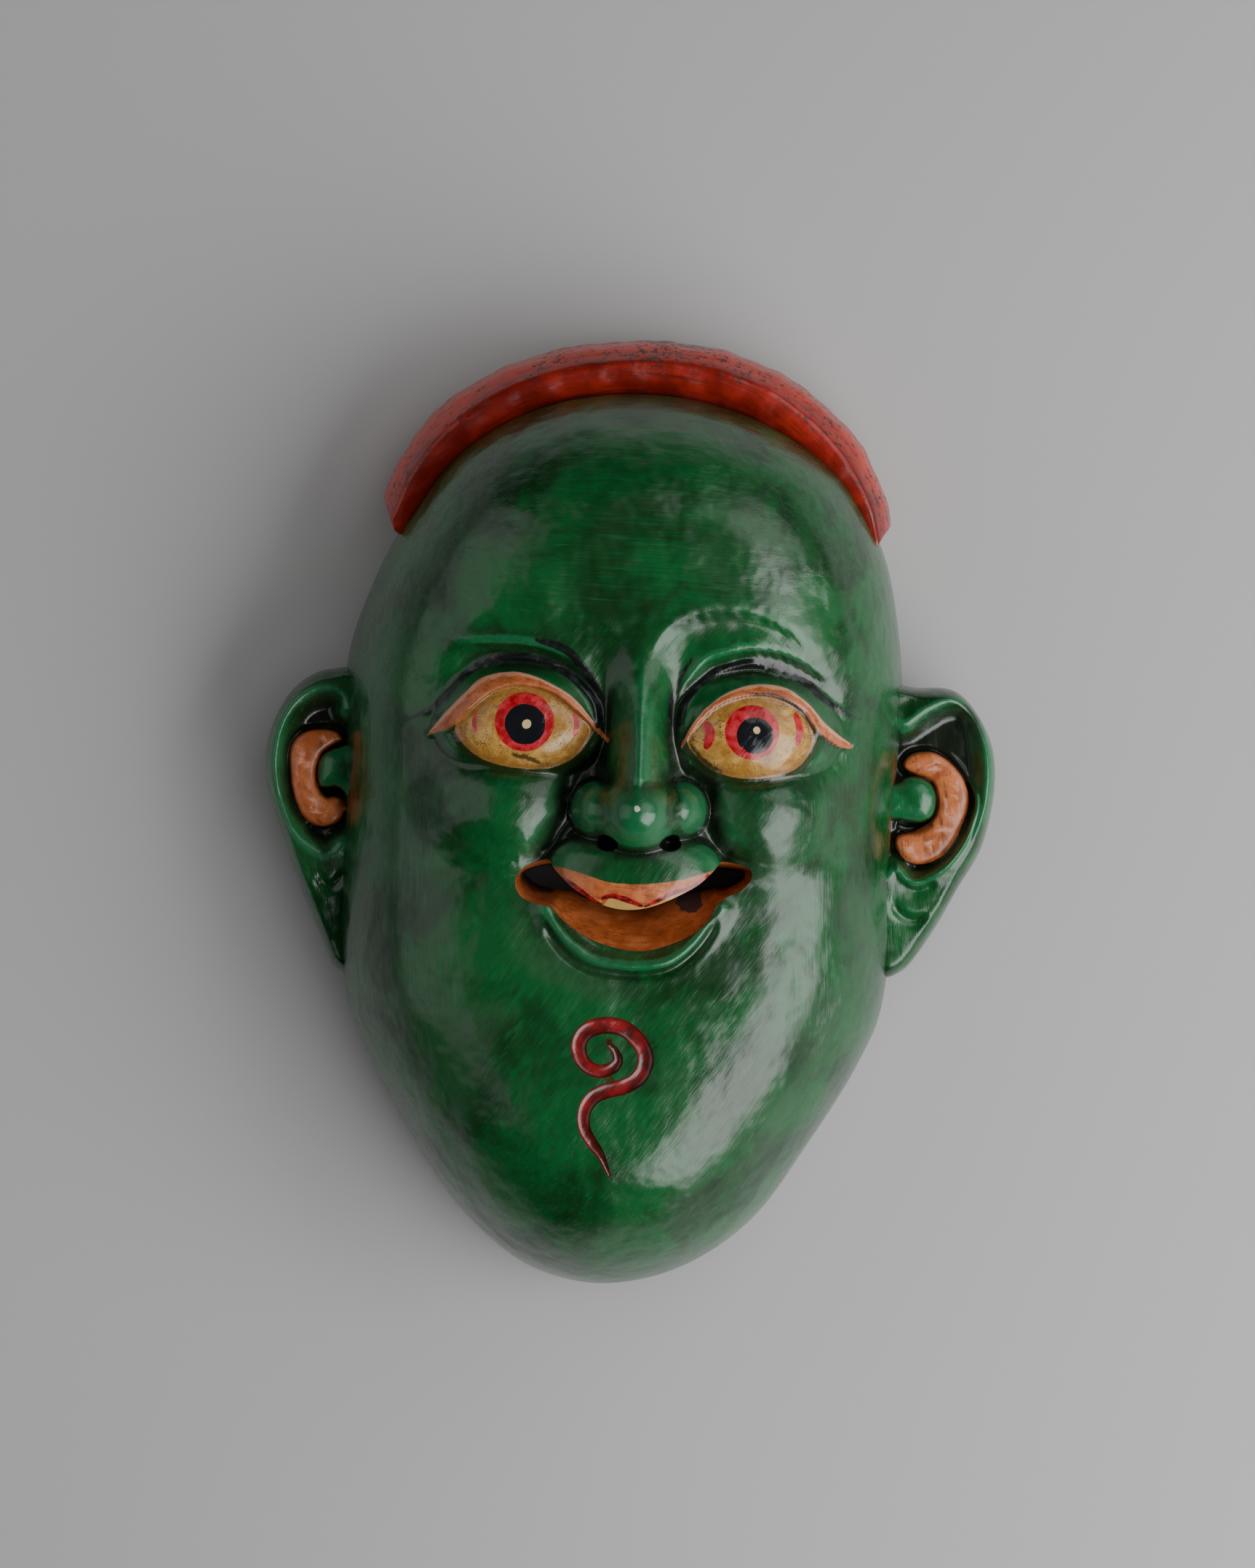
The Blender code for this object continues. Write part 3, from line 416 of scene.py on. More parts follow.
def head_front(x, y):
    """The carved face, turned back at its edge: the turn is (1 - (1 - d/60)^2.7)^(1/2.1)."""
    depth = np.clip(depth_in_head(x, y), 0, None)
    turn = np.clip(1 - np.clip(1 - depth / TURN_REACH, 0, 1) ** 2.7, 0, 1) ** (1 / 2.1)
    return SIDE_HEIGHT + (carved_front(x, y) - SIDE_HEIGHT) * turn

# %% [markdown]
# ## The head as one closed surface
#
# The grid has two parameters. One turns round the nose. The other starts at the nose, runs out over the
# face, down the side, across the flat back rim and up into the hollow, to end at its deepest point. So
# front, rim and hollow are one skin, as on the real mask, with no seam to hide.

# %% The head's grid
TURNS = 420
FACE_RINGS, EDGE_RINGS, SIDE_RINGS, RIM_RINGS, HOLLOW_RINGS = 128, 46, 5, 3, 14
FACE_REACH = 64.0
HOLLOW_DEPTH = 71.5


def new_piece(name, points, faces, material=None):
    """A mesh object at the origin from an array of places in metres and an array of faces."""
    mesh = bpy.data.meshes.new(name)
    mesh.from_pydata(points.reshape(-1, 3).tolist(), [], faces)
    mesh.update()
    mesh.shade_smooth()
    piece = bpy.data.objects.new(name, mesh)
    bpy.context.scene.collection.objects.link(piece)
    if material:
        mesh.materials.append(material)
    return piece


def ball_faces(rows, columns):
    """Faces of a grid that closes round on itself and ends in one point at each pole."""
    here = 1 + np.arange(columns)
    onward = 1 + (np.arange(columns) + 1) % columns
    first = np.arange(rows - 1)[:, None] * columns
    quads = np.stack([first + here, first + columns + here, first + columns + onward, first + onward], -1)
    last = (rows - 1) * columns
    top = np.stack([np.zeros(columns, int), here, onward], -1)
    bottom = np.stack([np.full(columns, rows * columns + 1), last + onward, last + here], -1)
    return top.tolist() + quads.reshape(-1, 4).tolist() + bottom.tolist()


def head_surface():
    """Places on the head for every turn and every step from the nose tip to the hollow's top."""
    angle = np.arange(TURNS) / TURNS * 2 * math.pi
    far = radius_towards(HEAD_OUTLINE, MIDDLE, angle)
    face = np.arange(1, FACE_RINGS + 1)[:, None] / FACE_RINGS * FACE_REACH * np.ones_like(far)
    onward = 1 - (1 - np.arange(1, EDGE_RINGS + 1) / EDGE_RINGS)[:, None] ** 1.4
    edge = FACE_REACH + (far - FACE_REACH) * onward
    reach = np.vstack([face, edge])
    x, y = MIDDLE[0] + reach * np.cos(angle), MIDDLE[1] + reach * np.sin(angle)
    front = np.stack([x, y, head_front(x, y)], -1)

    down = np.linspace(0, 1, SIDE_RINGS + 1)[1:, None]
    reach = far * np.interp(down, [0, 0.6, 0.93, 1], [1.0, 0.997, 0.989, 0.982])
    side = np.stack([MIDDLE[0] + reach * np.cos(angle), MIDDLE[1] + reach * np.sin(angle),
                     np.broadcast_to(SIDE_HEIGHT * (1 - down), reach.shape)], -1)

    inner = far - RIM_WIDTH - 1.5
    across = np.linspace(0, 1, RIM_RINGS + 1)[1:, None]
    reach = far * 0.982 + (inner - far * 0.982) * across
    rim = np.stack([MIDDLE[0] + reach * np.cos(angle), MIDDLE[1] + reach * np.sin(angle),
                    np.zeros_like(reach)], -1)

    up = np.sin(np.linspace(1, 0, HOLLOW_RINGS + 1)[1:-1, None] * math.pi / 2)
    reach = inner * up
    arch = np.clip(1 - up ** 4.0, 0, 1) ** 0.45
    x, y = MIDDLE[0] + reach * np.cos(angle), MIDDLE[1] + reach * np.sin(angle)
    gouge = 0.55 * np.sin(x * 0.9 + 1.3 * np.sin(y * 0.21)) * np.sin(y * 0.33 + 0.9 * np.sin(x * 0.17))
    hollow = np.stack([x, y, np.broadcast_to(HOLLOW_DEPTH * arch, x.shape) + gouge * arch], -1)
    rows = np.concatenate([front, side, rim, hollow])
    nose_pole = np.array([[MIDDLE[0], MIDDLE[1], head_front(np.array([0.0]), np.array([-5.0]))[0]]])
    back_pole = np.array([[MIDDLE[0], MIDDLE[1], HOLLOW_DEPTH]])
    return np.vstack([nose_pole, rows.reshape(-1, 3), back_pole]), len(rows)


def places_of(mesh):
    """The mesh's points as an array in drawn millimetres."""
    points = np.empty(len(mesh.vertices) * 3)
    mesh.vertices.foreach_get("co", points)
    return points.reshape(-1, 3) / np.array([ACROSS, UP, OUT])


drawn, rows = head_surface()
head = new_piece("head", to_metres(*drawn.T), ball_faces(rows, TURNS))
print("the head's grid has", len(head.data.polygons), "faces")

# %% [markdown]
# ## Cutting the mouth and the nostrils
#
# The smile is cut right through to the hollow. Its outline is kept near the lips and then narrows to a
# slot behind the upper lip, which leaves the broad slope of the lower lip in view. The sections between
# the two are evenly shared, so the slope is smooth. Each nostril is one small upright egg, and the
# spiral is drawn into the chin with a gouge.

# %% Cutters and cuts
SLOT_SHARE, SLOT_TOP = 0.9, -16.5
SLOT_FOOT = [
    (-34, -21), (-29, -24.4), (-23, -25.2), (-18, -25.0), (-14, -26.2), (-11, -26.9), (-5.7, -28.6),
    (-0.5, -29.4), (5, -29.0), (10, -27.3), (14, -25.4), (18, -24.4), (24, -24.2), (31, -23), (36, -20),
]
SLOPE_TOP, SLOPE_FOOT = 92.5, 66.5
NOSTRIL_HEIGHT, NOSTRIL_REACH = 100.0, (3.75, 2.7, 8.0)
GOUGE_DEPTH, GOUGE_CLEARANCE = 1.35, 3.0


def mouth_cutter(material):
    """A loft of sections: the lips' outline above, a slot behind the lip below, mixed by a smooth share.

    Towards both ends the slot closes as (1 - |x / 34|^3)^(1/2) round the middle of its foot and top.
    """
    upper = curve_through(UPPER_LIP, 70)
    sides = curve_through([UPPER_LIP[-1]] + MOUTH_SIDES + [UPPER_LIP[0]], 150)
    outline = np.vstack([upper, sides[1:-1]])
    for _ in range(4):
        outline = 0.25 * np.roll(outline, 1, 0) + 0.5 * outline + 0.25 * np.roll(outline, -1, 0)
    right, left = outline[:, 0].argmax(), outline[:, 0].argmin()
    lower = (np.arange(len(outline)) > right) & (np.arange(len(outline)) < left)
    aside = (outline[:, 0] - MIDLINE) * SLOT_SHARE
    foot = np.interp(MIDLINE - 0.5 + aside, *curve_through(SLOT_FOOT, 80).T)
    half = (SLOT_TOP - foot) / 2 * np.sqrt(np.clip(1 - np.abs(aside / 34.0) ** 3, 0.02, 1))
    slot = np.column_stack([MIDLINE - 0.5 + aside, (SLOT_TOP + foot) / 2 + np.where(lower, -half, half)])
    heights = np.concatenate([[125.0], np.linspace(95, 66, 34), [40.0]])
    shares = smooth(SLOPE_TOP, SLOPE_FOOT, heights) ** 0.85
    sections = np.stack([np.column_stack([outline * (1 - s) + slot * s, np.full(len(outline), z)])
                         for s, z in zip(shares, heights)])
    count = len(outline)
    here, onward = np.arange(count), (np.arange(count) + 1) % count
    first = np.arange(len(sections) - 1)[:, None] * count
    quads = np.stack([first + here, first + onward, first + count + onward, first + count + here], -1)
    lids = [here[::-1].tolist(), ((len(sections) - 1) * count + here).tolist()]
    faces = quads.reshape(-1, 4).tolist() + lids
    return new_piece("mouth cutter", to_metres(*sections.reshape(-1, 3).T), faces, material)


def egg(centre, reach, material, turns=48, rows=26):
    """An ellipsoid: centre plus reach times the unit vector of turn and tilt."""
    turn = np.arange(turns) / turns * 2 * math.pi
    tilt = (np.arange(1, rows) / rows * math.pi)[:, None]
    unit = np.stack([np.sin(tilt) * np.cos(turn), np.sin(tilt) * np.sin(turn),
                     np.cos(tilt) * np.ones_like(turn)], -1).reshape(-1, 3)
    unit = np.vstack([[0, 0, 1], unit, [0, 0, -1]])
    points = to_metres(*(centre + unit * reach).T)
    return new_piece("nostril cutter", points, ball_faces(rows - 1, turns), material)


def spiral_gouge(material, steps=420, round_steps=18):
    """A gouge drawn along the spiral: an oval as wide as the line, sunk in the face.

    Each oval stands across the line. Its low half cuts, and its high half only clears the surface.
    """
    line = curve_through(SPIRAL, steps)
    leg = np.gradient(line, axis=0)
    leg /= np.linalg.norm(leg, axis=1, keepdims=True)
    half = np.interp(np.linspace(0, 1, steps), SPIRAL_SHARES, SPIRAL_HALVES)[:, None]
    turn = np.arange(round_steps) / round_steps * 2 * math.pi
    across = half * np.cos(turn)
    x, y = line[:, :1] - leg[:, 1:] * across, line[:, 1:] + leg[:, :1] * across
    depth = GOUGE_DEPTH * np.clip(half / 1.5, 0, 1)
    reach = np.where(np.sin(turn) < 0, depth, GOUGE_CLEARANCE)
    z = head_front(line[:, 0], line[:, 1])[:, None] + reach * np.sin(turn)
    rings = np.stack([x, y, z], -1).reshape(-1, 3)
    points = np.vstack([[rings[:round_steps].mean(0)], rings, [rings[-round_steps:].mean(0)]])
    faces = [face[::-1] for face in ball_faces(steps, round_steps)]
    return new_piece("spiral gouge", to_metres(*points.T), faces, material)


def cut(piece, tool):
    """Cuts a tool out of a piece and keeps only the result."""
    step = piece.modifiers.new("cut", "BOOLEAN")
    step.operation, step.solver, step.object = "DIFFERENCE", "MANIFOLD", tool
    step.material_mode = "TRANSFER"
    shape = piece.evaluated_get(bpy.context.evaluated_depsgraph_get())
    mesh = bpy.data.meshes.new_from_object(shape)
    piece.modifiers.clear()
    piece.data = mesh
    bpy.data.objects.remove(tool)


def mark_cut_edges(mesh):
    """Marks as sharp the edges where two finishes meet and the gouge's edges on the chin."""
    work = bmesh.new()
    work.from_mesh(mesh)
    for edge in work.edges:
        one_finish = len({face.material_index for face in edge.link_faces}) == 1
        off_chin = edge.verts[0].co.y > LOWER_LIP[5][1] * UP * 1.2
        edge.smooth = (one_finish and off_chin) or edge.calc_face_angle(0) < 0.6
    work.to_mesh(mesh)
    work.free()


carved = bpy.data.materials.new("carved face")
lining = bpy.data.materials.new("mouth lining")
head.data.materials.append(carved)
cut(head, mouth_cutter(lining))
for x, y in NOSTRILS:
    cut(head, egg((x, y, NOSTRIL_HEIGHT), NOSTRIL_REACH, carved))
cut(head, spiral_gouge(carved))
mark_cut_edges(head.data)
print("with its mouth and nostrils the head has", len(head.data.polygons), "faces")

# %% [markdown]
# ## The ears
#
# An ear is a flat slab with a bowl cut in its front. In the bowl stand a raised crescent and the lobe
# before the ear's opening, and below it run one or two soft creases. As on the face, everything is a
# height over the drawn outline, and the back of the slab closes it.

# %% Lines of the ears
EARS = {
    "left": {
        "centre": (-98.0, 8.0),
        "outline": [(-84, 38), (-97, 42.6), (-108.7, 35.4), (-115.5, 21.2), (-115.8, 6), (-109.5, -13.6),
                    (-103.7, -29), (-97.8, -42.5), (-92.3, -53), (-84, -50), (-80, -5)],
        "bowl": [(-82, 28), (-89.6, 29.1), (-91.1, 32.8), (-93.8, 35.2), (-97.5, 35.6), (-101.7, 34.4),
                 (-105.1, 32.2), (-108.0, 29.2), (-110.0, 25.4), (-111.4, 21.1), (-112.2, 12.6),
                 (-112.1, 7.3), (-111.0, 1.5), (-108.7, -3.8), (-105.9, -8.5), (-102.7, -12.2),
                 (-100.5, -14.2), (-96.7, -16.3), (-93.0, -15.1), (-90.9, -12.4), (-82, -10)],
        "shell": [(-91.8, 20.6), (-93.5, 22.4), (-96.1, 23.1), (-99.3, 23.1), (-102.0, 22.7),
                  (-104.6, 21.6), (-106.4, 19.9), (-107.7, 17.2), (-108.0, 13.8), (-107.7, 9.5),
                  (-107.1, 5.3), (-105.9, 0.5), (-103.9, -3.7), (-101.2, -6.3), (-98.0, -7.4),
                  (-94.3, -6.9), (-91.7, -5.2), (-90.3, -2.3), (-90.5, 0.1), (-91.8, 1.4), (-94.0, 2.0),
                  (-96.1, 1.6), (-98.3, 3.4), (-99.4, 6.0), (-99.8, 9.7), (-99.3, 12.9), (-98.1, 15.6),
                  (-96.0, 17.5), (-93.9, 18.9), (-91.9, 19.9)],
        "lobe": [(-88.6, 19.1), (-92.8, 18.0), (-96.0, 16.7), (-98.3, 14.6), (-99.3, 11.6), (-99.4, 8.1),
                 (-98.6, 5.2), (-96.7, 4.5), (-93.5, 4.8), (-91.4, 3.8), (-90.2, 1.5), (-89.9, -3.3),
                 (-83.9, -3.2), (-82.2, 8.0), (-84, 19)],
        "creases": [([(-98.8, 4.0), (-96.1, 3.1), (-93.5, 3.3), (-91.0, 1.8), (-90.2, -1.7)], 2.6, 0.9),
                    ([(-102.3, -6.8), (-100.1, -9.4), (-96.8, -10.7), (-93.7, -10.1), (-90.1, -7.6)],
                     1.8, 1.6),
                    ([(-98.6, -24.3), (-94.8, -26.6), (-92.2, -25.2), (-89.6, -21.4)], 1.7, 1.5)],
        "ridges": [],
    },
    "right": {
        "centre": (96.0, 8.0),
        "outline": [(78, 38), (92, 41.5), (104.3, 40), (113.8, 27.2), (116.4, 12), (113, -7.8),
                    (105.3, -22.5), (97.5, -37), (88, -49.5), (79, -47), (76, -5)],
        "bowl": [(79, 27), (86.4, 29.0), (91.1, 32.3), (96.3, 35.6), (101.6, 37.3), (105.8, 36.9),
                 (109.6, 33.8), (111.6, 28.6), (112.6, 22.7), (113.2, 15.3), (112.9, 10.0), (112.3, 4.6),
                 (110.0, -1.3), (107.0, -6.7), (102.9, -12.6), (97.7, -17.5), (93.0, -20.3),
                 (88.7, -19.9), (85.4, -16.8), (78, -15)],
        "shell": [(86.7, 16.7), (87.7, 18.9), (89.8, 20.3), (93.0, 20.9), (96.2, 20.7), (99.4, 19.2),
                  (102.1, 17.1), (104.8, 14.0), (106.8, 9.8), (107.4, 6.1), (107.0, 2.4), (105.5, -1.9),
                  (103.3, -6.8), (100.2, -11.1), (97.1, -13.3), (93.4, -14.5), (90.2, -14.3),
                  (87.5, -12.8), (85.5, -10.4), (84.7, -7.2), (86.7, -5.3), (90.4, -4.4), (95.2, -1.7),
                  (97.2, 1.1), (97.9, 5.3), (97.3, 9.0), (95.9, 11.7), (93.4, 13.2), (90.5, 13.9),
                  (87.8, 15.2)],
        "lobe": [(85.2, 11.4), (86.8, 12.8), (90.0, 13.5), (93.2, 12.9), (95.9, 10.9), (97.3, 8.0),
                 (97.6, 4.8), (96.9, 1.6), (95.1, -0.6), (92.0, -1.5), (88.2, -1.3), (85.6, -0.8),
                 (80.9, 0.7), (80.1, 9.2)],
        "creases": [([(84.6, -2.4), (89.3, -3.1), (93.1, -2.8), (96.1, -0.8)], 2.4, 1.1),
                    ([(84.0, -16.4), (88.2, -21.6), (92.4, -22.8), (98.0, -20.8)], 1.0, 1.5),
                    ([(83.6, -27.0), (87.4, -31.1), (91.2, -32.6), (95.3, -31.6)], 1.9, 1.4)],
        "ridges": [([(97.2, 22.3), (101.0, 20.3), (104.2, 17.2), (107.0, 13.0), (109.6, 7.8), (109.7, 3.5),
                     (108.4, -1.3), (106.5, -6.7), (103.9, -11.0), (100.3, -15.4), (95.1, -18.7),
                     (91.4, -20.1), (88.2, -19.4), (85.0, -15.8)], 1.5, 0.8)],
    },
}
EAR_TOP, EAR_UNDERSIDE = 42.0, 12.0
EAR_TURNS, EAR_FRONT_RINGS, EAR_BACK_RINGS = 260, 92, 20
EAR_LINE_POINTS = {"bowl": 120, "shell": 140, "lobe": 90}
BOWL_DEPTH, SHELL_DEPTH, LOBE_DEPTH = 6.6, 2.4, 3.0


def depth_in_ear(x, y, ear, part):
    """How far a point lies inside the ear's bowl, shell or lobe."""
    return depth_inside(x, y, curve_through(ear[part], EAR_LINE_POINTS[part], closed=True))


# %% One ear
def ear_front(x, y, ear):
    """Height of the ear's front: a slab, less the bowl, plus the crescent, the lobe and the folds."""
    low = smooth(-8, -46, y)
    top = EAR_TOP + 2.5 - 8.0 * low
    bowl, shell, lobe = (depth_in_ear(x, y, ear, part) for part in EAR_LINE_POINTS)
    z = top - 0.9 * bell(bowl + 5.0, 3.5) - BOWL_DEPTH * smooth(-1.4, 6.5, bowl)
    for line, height, width in ear["ridges"]:
        distance, _, share = nearest(x, y, curve_through(line, 60))
        z = z + height * bell(distance, width) * smooth(0, 0.15, share)
    z = z - 1.3 * bell(shell + 1.0, 0.9)
    crown = EAR_TOP - SHELL_DEPTH + 1.5 * np.sqrt(1 - (1 - np.clip(shell / 4.0, 0, 1)) ** 2)
    z = z + (crown - z) * smooth(-0.55, 0.35, shell)
    crown = EAR_TOP - LOBE_DEPTH + 5.6 * np.sqrt(1 - (1 - np.clip(lobe / 7.0, 0, 1)) ** 2)
    z = z + (crown - z) * smooth(-0.5, 0.5, lobe)
    for line, depth, width in ear["creases"]:
        distance, _, share = nearest(x, y, curve_through(line, 40))
        z = z - depth * bell(distance, width) * smooth(0, 0.12, share) * smooth(1, 0.88, share)
    return z


def ear_surface(ear):
    """Places on the ear: rings out over the front, round the rim and back over the underside."""
    centre = ear["centre"]
    angle = np.arange(EAR_TURNS) / EAR_TURNS * 2 * math.pi
    far = radius_towards(ear["outline"], centre, angle)
    outward = (np.arange(1, EAR_FRONT_RINGS + 1) / EAR_FRONT_RINGS)[:, None]
    closer = 0.86 + 0.14 * np.sin((outward - 0.8) / 0.2 * math.pi / 2)
    share = np.where(outward < 0.8, outward / 0.8 * 0.86, closer)
    x, y = centre[0] + far * share * np.cos(angle), centre[1] + far * share * np.sin(angle)
    outline = curve_through(ear["outline"], 200, closed=True)
    depth = np.clip(depth_inside(x, y, outline), 0, None)
    edge = np.sqrt(np.clip(1 - (1 - np.clip(depth / 4.6, 0, 1)) ** 2.2, 0, 1))
    edge[-1] = 0.0
    low = smooth(-8, -46, y)
    middle = (EAR_TOP + EAR_UNDERSIDE) / 2 - 3.0 * low
    front = np.stack([x, y, middle + (ear_front(x, y, ear) - middle) * edge], -1)

    inward = (np.arange(1, EAR_BACK_RINGS) / EAR_BACK_RINGS)[:, None]
    share = np.cos(inward * math.pi / 2)
    x, y = centre[0] + far * share * np.cos(angle), centre[1] + far * share * np.sin(angle)
    middle = (EAR_TOP + EAR_UNDERSIDE) / 2 - 3.0 * smooth(-8, -46, y)
    back = np.stack([x, y, middle - (middle - EAR_UNDERSIDE) * np.sqrt(1 - share ** 5)], -1)
    x, y = np.array([centre[0]]), np.array([centre[1]])
    poles = np.stack([[x[0], y[0], ear_front(x, y, ear)[0]], [x[0], y[0], EAR_UNDERSIDE]])
    return np.vstack([poles[:1], front.reshape(-1, 3), back.reshape(-1, 3), poles[1:]])


ears = {}
for side, ear in EARS.items():
    faces = ball_faces(EAR_FRONT_RINGS + EAR_BACK_RINGS - 1, EAR_TURNS)
    ears[side] = new_piece(f"{side}_ear", to_metres(*ear_surface(ear).T), faces)
    print("the", side, "ear has", len(ears[side].data.polygons), "faces")

# %% [markdown]
# ## The brim
#
# The brim is one section carried round the forehead: a steep outer facet, a crest worn round by
# handling, and a cove that runs down into the forehead. Towards both ends it gets smaller, and there it
# is sawn off. Slow unevenness along its length shows the knife.

# %% The brim's section along its line
BRIM_LINE = [
    (-76.8, 86.6), (-74, 92.8), (-68.5, 104.2), (-59, 115.7), (-46, 125.9), (-30, 133.3), (-12, 137.4),
    (6, 138.3), (24, 136.1), (40, 129.9), (53, 120.9), (64, 109.2), (71.5, 96.7), (74, 88.2), (75.0, 83.4),
]
BRIM_SECTION = [(0.545, 0.012), (0.56, 0.3), (0.575, 0.585), (0.555, 0.67), (0.462, 0.81), (0.40, 0.853),
                (0.16, 0.985), (0.06, 0.993), (-0.14, 0.968), (-0.26, 0.925), (-0.40, 0.89), (-0.42, 0.8),
                (-0.42, 0.3), (-0.41, 0.012)]
BRIM_WIDTH, BRIM_HEIGHT = 21.5, 48.0
BRIM_STEPS, BRIM_ROUND = 420, 66


def brim_surface():
    """The section times its size at each step, laid square across the line, its ends drawn to a point."""
    line = curve_through(BRIM_LINE, BRIM_STEPS)
    leg = np.gradient(line, axis=0)
    leg /= np.linalg.norm(leg, axis=1, keepdims=True)
    outward = np.stack([-leg[:, 1], leg[:, 0]], 1)
    section = curve_through(np.array(BRIM_SECTION) * (BRIM_WIDTH, BRIM_HEIGHT), BRIM_ROUND, closed=True)
    share = np.linspace(0, 1, BRIM_STEPS)
    size = 0.7 + 0.3 * smooth(0, 0.2, share) * smooth(1, 0.8, share)
    run = share * 190
    knife = 0.22 * np.sin(run * 0.31 + 1.1 * np.sin(run * 0.11)) + 0.12 * np.sin(run * 0.83 + 2.0)
    across = section[:, 0] * size[:, None]
    across = across - (0.75 + knife[:, None]) * smooth(0.1, 0.5, section[:, 0] / BRIM_WIDTH)
    to_end = (0.5 - np.abs(share - 0.5))[:, None] * 200
    across = np.minimum(across, -0.5 + 1.05 * to_end)
    up = section[:, 1] * (0.9 + 0.1 * size[:, None])
    lift = smooth(0.6, 0.95, section[:, 1] / BRIM_HEIGHT)
    up = up - (0.2 + 0.3 * np.sin(run * 0.23 + 0.7)[:, None] ** 2) * lift
    return line, outward, across, np.clip(up, 0.4, None)


def brim_piece():
    """The brim's rings, with four shrinking rings and one point at each sawn end."""
    line, outward, across, up = brim_surface()
    rings = [np.column_stack([line[k] + outward[k] * across[k][:, None], up[k]]) for k in range(BRIM_STEPS)]
    ends = []
    for ring in (rings[0], rings[-1]):
        centre = ring.mean(0)
        ends.append([centre + (ring - centre) * scale for scale in (0.985, 0.9, 0.6, 0.3)])
    rows = ends[0][::-1] + rings + ends[1]
    first, last = rows[0].mean(0), rows[-1].mean(0)
    points = np.vstack([[first], np.vstack(rows), [last]])
    return points, ball_faces(len(rows), BRIM_ROUND)


points, faces = brim_piece()
brim = new_piece("brim", to_metres(*points.T), [face[::-1] for face in faces])
print("the brim has", len(brim.data.polygons), "faces")

# %% [markdown]
# ## Measuring where the paint lies
#
# A painter follows the carving: black dirt and painted shade darken the creases, and hands rub the ridges
# pale. So each point keeps a few numbers for the finishes to read, all in millimetres: how deep it lies
# inside each painted shape, and how far it stands below or above the smoothed carving around it.

# %% Numbers kept with the points
def keep(mesh, name, values):
    """Keeps one number per point of a mesh, for its finish to read."""
    layer = mesh.attributes.new(name, "FLOAT", "POINT")
    layer.data.foreach_set("value", np.ascontiguousarray(values, dtype=np.float32))


def soften(heights, width):
    """Blurs a grid of heights with a bell a few cells wide, first up and then across."""
    weights = bell(np.arange(-3 * width, 3 * width + 1), width * 1.41)
    padded = np.pad(heights, 3 * width, mode="edge")
    for axis in (0, 1):
        padded = np.apply_along_axis(np.convolve, axis, padded, weights / weights.sum(), "valid")
    return padded


def relief(front, low, high, x, y):
    """How far points lie below their wider surroundings and above their closer ones."""
    across, up = np.arange(low[0], high[0] + 1.0), np.arange(low[1], high[1] + 1.0)
    heights = front(*np.meshgrid(across, up))
    column, row = np.clip(x - low[0], 0, len(across) - 1.01), np.clip(y - low[1], 0, len(up) - 1.01)
    c, r = column.astype(int), row.astype(int)
    s, t = column - c, row - r

    def read(grid):
        lower = grid[r, c] * (1 - s) + grid[r, c + 1] * s
        return lower * (1 - t) + (grid[r + 1, c] * (1 - s) + grid[r + 1, c + 1] * s) * t

    return read(soften(heights, 5) - heights), read(heights - soften(heights, 2))


def stroke(x, y, points, half, reach=6):
    """How deep a point lies in a painted stroke that swells to its half width in the middle."""
    distance, _, share = nearest(x, y, curve_through(points, 50), reach)
    return half * (4 * share * (1 - share)) ** 0.35 - distance


def deepest(fields):
    """The deepest of several painted shapes at each point."""
    return np.maximum.reduce(list(fields))


# %% Painted shapes of the head
LIP_STROKES = [
    ([(-20.4, -20.7), (-17.3, -22.4), (-14.4, -24.5), (-11.6, -26.6), (-8.8, -28.3), (-7.1, -28.6)], 0.75),
    ([(-8.2, -26.9), (-4.9, -25.9), (-1.6, -26.5), (1.8, -27.7), (4.9, -28.9)], 0.85),
    ([(5.2, -29.0), (9.0, -27.2), (12.9, -25.0), (16.2, -23.9), (19.5, -22.7), (22.8, -20.4),
      (25.2, -18.6)], 0.7),
]
BROW_BLACK = {
    "left": ([(-31.0, 52.3), (-21.2, 49.3), (-16.6, 45.2), (-12.8, 40.6), (-10.4, 35.8), (-9.6, 30.9),
              (-10.6, 25.0)], 1.4),
    "right": ([(18.0, 47.5), (15.0, 42.0), (12.6, 36.6), (11.8, 30.0), (13.2, 23.5)], 0.7),
}
LID_LINE = [(34.3, 37.4), (38.5, 36.9), (43.8, 36.8), (49.1, 34.3), (52.8, 31.0), (56.0, 27.0),
            (60.0, 23.6), (64.6, 21.2), (69.0, 20.6)]
SMUDGES = [([(-37.0, 16.4), (-32.5, 15.9), (-28.3, 14.4), (-26.5, 13.4)], 1.1),
           ([(-42, 30.9), (-41, 30.6)], 0.7), ([(-52.9, 24.4), (-52.1, 24.0)], 0.7),
           ([(17.7, 21.8), (20.1, 18.4), (23.4, 15.2), (28.6, 12.4)], 1.1),
           ([(42.0, 15.6), (46.0, 16.4), (49.6, 18.6)], 0.5)]
STREAKS = [([(83.2, 21.5), (84.0, 8.0), (83.4, -4.0), (83.2, -16.0)], 2.2),
           ([(-86.0, 23.5), (-87.2, 9.0), (-87.6, -8.0)], 2.3)]
BRIM_RUN = 245.0
SCRATCHES = [([(-21.6, 97.0), (-12.6, 97.4), (-3.7, 97.5), (5.3, 97.0), (14.2, 97.0)], 0.28),
             ([(-58, 84), (-53, 80.5), (-49, 79.4)], 0.25), ([(21, 106), (28, 99.5), (33.5, 92)], 0.2)]


